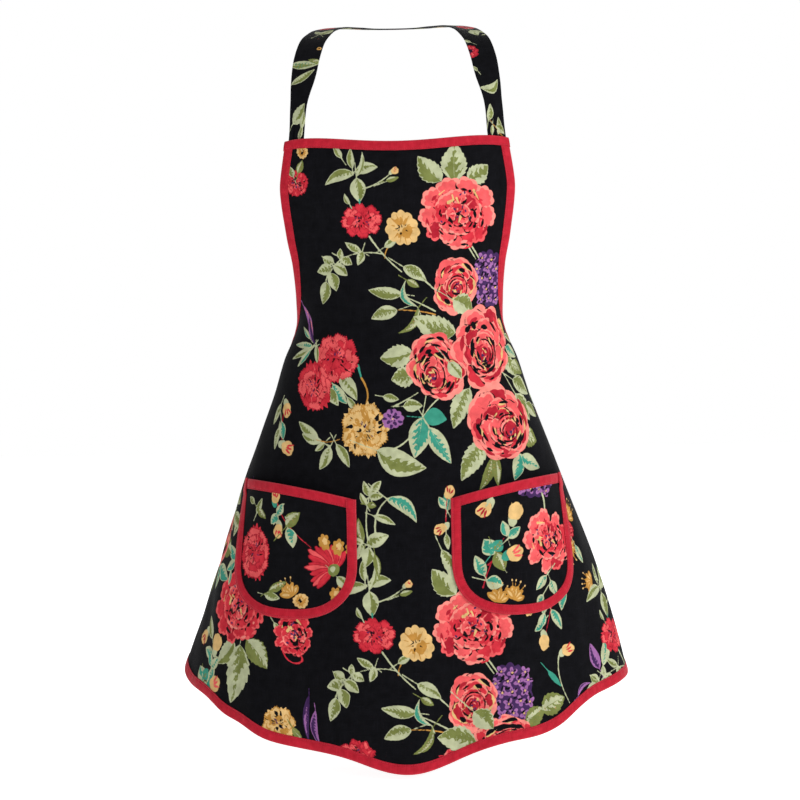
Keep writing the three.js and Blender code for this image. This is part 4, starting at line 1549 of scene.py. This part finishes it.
def linear(code):
    """Linear colour from a hex sRGB code."""
    c = [int(code[i : i + 2], 16) / 255 for i in (0, 2, 4)]
    return (*[x / 12.92 if x <= 0.04045 else ((x + 0.055) / 1.055) ** 2.4 for x in c], 1.0)


# in the order of the inks, DEEP to GROUND
INK_COLOURS = [
    "aa1a2c", "ca2b39", "e45759", "ee877c", "d8b274", "b9853a",
    "b3b893", "737b40", "37907a", "96619a", "3c2150", "101014",
]
PRINT_WEAVE, BINDING_WEAVE = 0.0011, 0.0009  # metres to one warp and one weft
INNER_SEAM, OUTER_SEAM = 0.0090, 0.0013  # metres in from the binding's edge
STITCH = 0.0027  # metres from one stitch to the next


def print_material():
    n = Nodes("printed_cotton")
    weave, _ = n.weave(PRINT_WEAVE)
    soft = n.noise(90, 3)
    fine = n.noise(900, 2, 0.6)
    slub = n.noise(60, 2, 0.5, (14, 1, 1))
    slub_up = n.noise(60, 2, 0.5, (1, 14, 1))
    patchy = n.span(soft, 0.3, 0.7)
    ground = n.mix(patchy, linear("060609"), linear("0d0d11"))
    for threads, share in ((slub, 0.35), (slub_up, 0.3)):
        thick = n.math("MULTIPLY", n.span(threads, 0.55, 0.8), share)
        ground = n.mix(thick, ground, linear("1b1b21"))
    colour = ground
    inks = iter(INK_COLOURS)
    brush = n.math("MULTIPLY_ADD", n.noise(260, 1), 0.36, -0.18)
    ragged = n.math("MULTIPLY_ADD", fine, 0.06, n.math("SUBTRACT", brush, 0.03))
    for attribute in INK_ATTRIBUTES:
        source = n.node("ShaderNodeAttribute", attribute_name=attribute)
        split = n.node("ShaderNodeSeparateColor")
        n.link(source.outputs["Color"], split.inputs[0])
        for channel in (*split.outputs, source.outputs["Alpha"]):
            cover = n.span(n.math("ADD", ragged, channel), 0.41, 0.59, kind="SMOOTHSTEP")
            code = next(inks)
            ink = linear(code)[:3]
            light = tuple(min(1, x * 1.16 + 0.01) for x in ink) + (1.0,)
            dark = tuple(x * 0.84 for x in ink) + (1.0,)
            tone = ground if code == INK_COLOURS[GROUND] else n.mix(patchy, dark, light)
            colour = n.mix(cover, colour, tone)
    # the print shows weakly on the cloth's reverse
    reverse = n.node("ShaderNodeAttribute", attribute_name="reverse").outputs["Fac"]
    pale = n.mix(0.72, colour, linear("2b2b30"))
    colour = n.mix(reverse, colour, pale)
    colour = n.mix(n.math("MULTIPLY", weave, 0.14), colour, linear("000000"))
    n.link(colour, n.shader.inputs["Base Color"])
    n.link(n.span(fine, 0.2, 0.8, 0.74, 0.88), n.shader.inputs["Roughness"])
    first = n.bump(weave, 0.35, 0.00022)
    n.link(n.bump(n.math("ADD", slub, slub_up), 0.25, 0.0006, first), n.shader.inputs["Normal"])
    return n.finish(sheen=0.045, specular=0.06)


def binding_material(two_rows):
    """Red cotton strip: weave, lighter streaks, stitches beside its edges, painted shade along the
    stitch rows and a painted sheen along its folded edges.
    """
    n = Nodes("red_binding_two" if two_rows else "red_binding")
    weave, place = n.weave(BINDING_WEAVE)
    soft = n.noise(120, 3)
    fine = n.noise(1100, 2, 0.6)
    streak = n.noise(70, 2, 0.5, (9, 1, 1))
    along, inset = place.outputs[0], place.outputs[1]
    colour = n.mix(n.span(soft, 0.3, 0.7), linear("a51225"), linear("bd1d31"))
    colour = n.mix(n.math("MULTIPLY", n.span(streak, 0.5, 0.8), 0.3), colour, linear("cd3443"))
    seam, thread = 0.0, 0.0
    for row in (INNER_SEAM, OUTER_SEAM) if two_rows else (INNER_SEAM,):
        away = n.math("ABSOLUTE", n.math("SUBTRACT", inset, row))
        seam = n.math("MAXIMUM", n.span(away, 0.0, 0.0009, 1.0, 0.0, "SMOOTHSTEP"), seam)
        step = n.math("FRACT", n.math("MULTIPLY", along, 1 / STITCH))
        dash = n.span(n.math("ABSOLUTE", n.math("SUBTRACT", step, 0.5)), 0.34, 0.42, 1.0, 0.0)
        stitch = n.math("MULTIPLY", n.span(away, 0.00018, 0.00034, 1.0, 0.0), dash)
        thread = n.math("MAXIMUM", stitch, thread)
    # darker red along each stitch row: painted shade in the seam's groove, the same groove that the
    # bump below sinks
    colour = n.mix(n.math("MULTIPLY", seam, 0.45), colour, linear("7c0c1a"))
    colour = n.mix(thread, colour, linear("c62d3f"))
    # lighter, in patches, towards the folded edge: painted sheen on the rounded fold
    edge_sheen = n.span(inset, 0.0016, -0.0010, 0.0, 0.35)
    colour = n.mix(n.math("MULTIPLY", edge_sheen, n.span(fine, 0.4, 0.7)), colour, linear("e2606a"))
    colour = n.mix(n.math("MULTIPLY", weave, 0.12), colour, linear("4a0610"))
    n.link(colour, n.shader.inputs["Base Color"])
    n.link(n.span(fine, 0.2, 0.8, 0.66, 0.82), n.shader.inputs["Roughness"])
    first = n.bump(weave, 0.35, 0.0002)
    second = n.bump(n.math("SUBTRACT", thread, seam), 0.6, 0.0004, first)
    n.link(n.bump(streak, 0.3, 0.0006, second), n.shader.inputs["Normal"])
    return n.finish(sheen=0.16, specular=0.12)


cotton, red_fold, red_strip = print_material(), binding_material(False), binding_material(True)


def finish_piece(piece, node, material=cotton, body=APRON):
    piece.data.materials.append(material)
    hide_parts(node)
    if body:
        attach(piece, body)
    return piece


panel = finish_piece(make_panel(), "apron_panel")
bands = [
    finish_piece(make_hem(), "hem_binding", red_fold),
    finish_piece(make_top(), "bib_top_binding", red_fold),
]
WAIST_SHARE = 0.6  # of the cloth's height, where the armhole binding meets the skirt's
for side, sign in SIDES:
    for band, low, high in (
        ("armhole", WAIST_SHARE - 0.012, 0.992),
        ("skirt_side", 0.008, WAIST_SHARE - 0.014),
    ):
        made = make_side(f"{band}_band_{side}", sign, low, high)
        bands.append(finish_piece(made, f"{band}_binding_{side}", red_fold))

for (side, sign), painter in zip(SIDES, (paint_left_pocket, paint_right_pocket)):
    pocket = finish_piece(make_pocket(f"pocket_cloth_{side}", sign, painter), f"pocket_{side}")
    top = make_pocket_mouth(f"pocket_mouth_band_{side}", sign)
    finish_piece(top, f"pocket_{side}_mouth_binding", red_fold)
    edge = make_pocket_edge(f"pocket_edge_band_{side}", sign)
    finish_piece(edge, f"pocket_{side}_edge_binding", red_strip)

strap, strap_length = make_strap()
finish_piece(strap, "neck_strap", body=None)
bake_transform(strap)

for side, sign in SIDES:
    tie, tie_length = make_tie(f"waist_tie_cloth_{side}", sign)
    finish_piece(tie, f"waist_tie_{side}")
    bow_loop, loop_length = make_loop(f"bow_loop_cloth_{side}", sign)
    finish_piece(bow_loop, f"bow_loop_{side}")
    tail, tail_length = make_tail(f"tie_tail_cloth_{side}", sign)
    finish_piece(tail, f"tie_tail_{side}", body=None)
    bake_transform(tail)
knot = finish_piece(make_knot(), "bow_knot")

# ---- Floor, light ----

FLOOR_Z = (SHIFT[2] - 6) * MM
FLOOR_HALF = 14


def make_floor():
    mesh = bpy.data.meshes.new("floor")
    corners = ((-1, -1), (1, -1), (1, 1), (-1, 1))
    points = [(FLOOR_HALF * x, FLOOR_HALF * y, FLOOR_Z) for x, y in corners]
    mesh.from_pydata(points, [], [(0, 1, 2, 3)])
    floor = add_object("floor", mesh)
    material = bpy.data.materials.new("floor")
    material.use_nodes = True
    shader = material.node_tree.nodes["Principled BSDF"]
    shader.inputs["Base Color"].default_value = (0.9, 0.9, 0.9, 1)
    shader.inputs["Roughness"].default_value = 0.9
    shader.inputs["Specular IOR Level"].default_value = 0.1
    shader.inputs["Emission Color"].default_value = (1, 1, 1, 1)
    shader.inputs["Emission Strength"].default_value = 0.72
    mesh.materials.append(material)


make_floor()

world = bpy.data.worlds.new("studio")
bpy.context.scene.world = world
world.use_nodes = True
sky = world.node_tree.nodes["Background"]
sky.inputs[0].default_value = (1, 1, 1, 1)
seen = world.node_tree.nodes.new("ShaderNodeLightPath").outputs["Is Camera Ray"]
level = world.node_tree.nodes.new("ShaderNodeMapRange")  # white to look at, softer as a light
level.inputs["To Min"].default_value = 0.36
level.inputs["To Max"].default_value = 1.0
world.node_tree.links.new(seen, level.inputs["Value"])
world.node_tree.links.new(level.outputs[0], sky.inputs[1])


def area_light(name, place, aim, size, power):
    light = bpy.data.lights.new(name, "AREA")
    light.shape = "DISK"
    light.size = size
    light.energy = power
    lamp = add_object(name, light)
    lamp.location = place
    lamp.rotation_euler = (Vector(aim) - Vector(place)).to_track_quat("-Z", "Y").to_euler()


area_light("key", (2.5, -1.9, 0.9), (0, 0, -0.45), 1.1, 62)
area_light("front", (-0.6, -2.6, 0.9), (0, 0, -0.5), 1.8, 10)
area_light("back", (0.6, 2.4, 1.4), (0, 0, -0.4), 1.6, 30)

bpy.context.scene.view_settings.view_transform = "Standard"
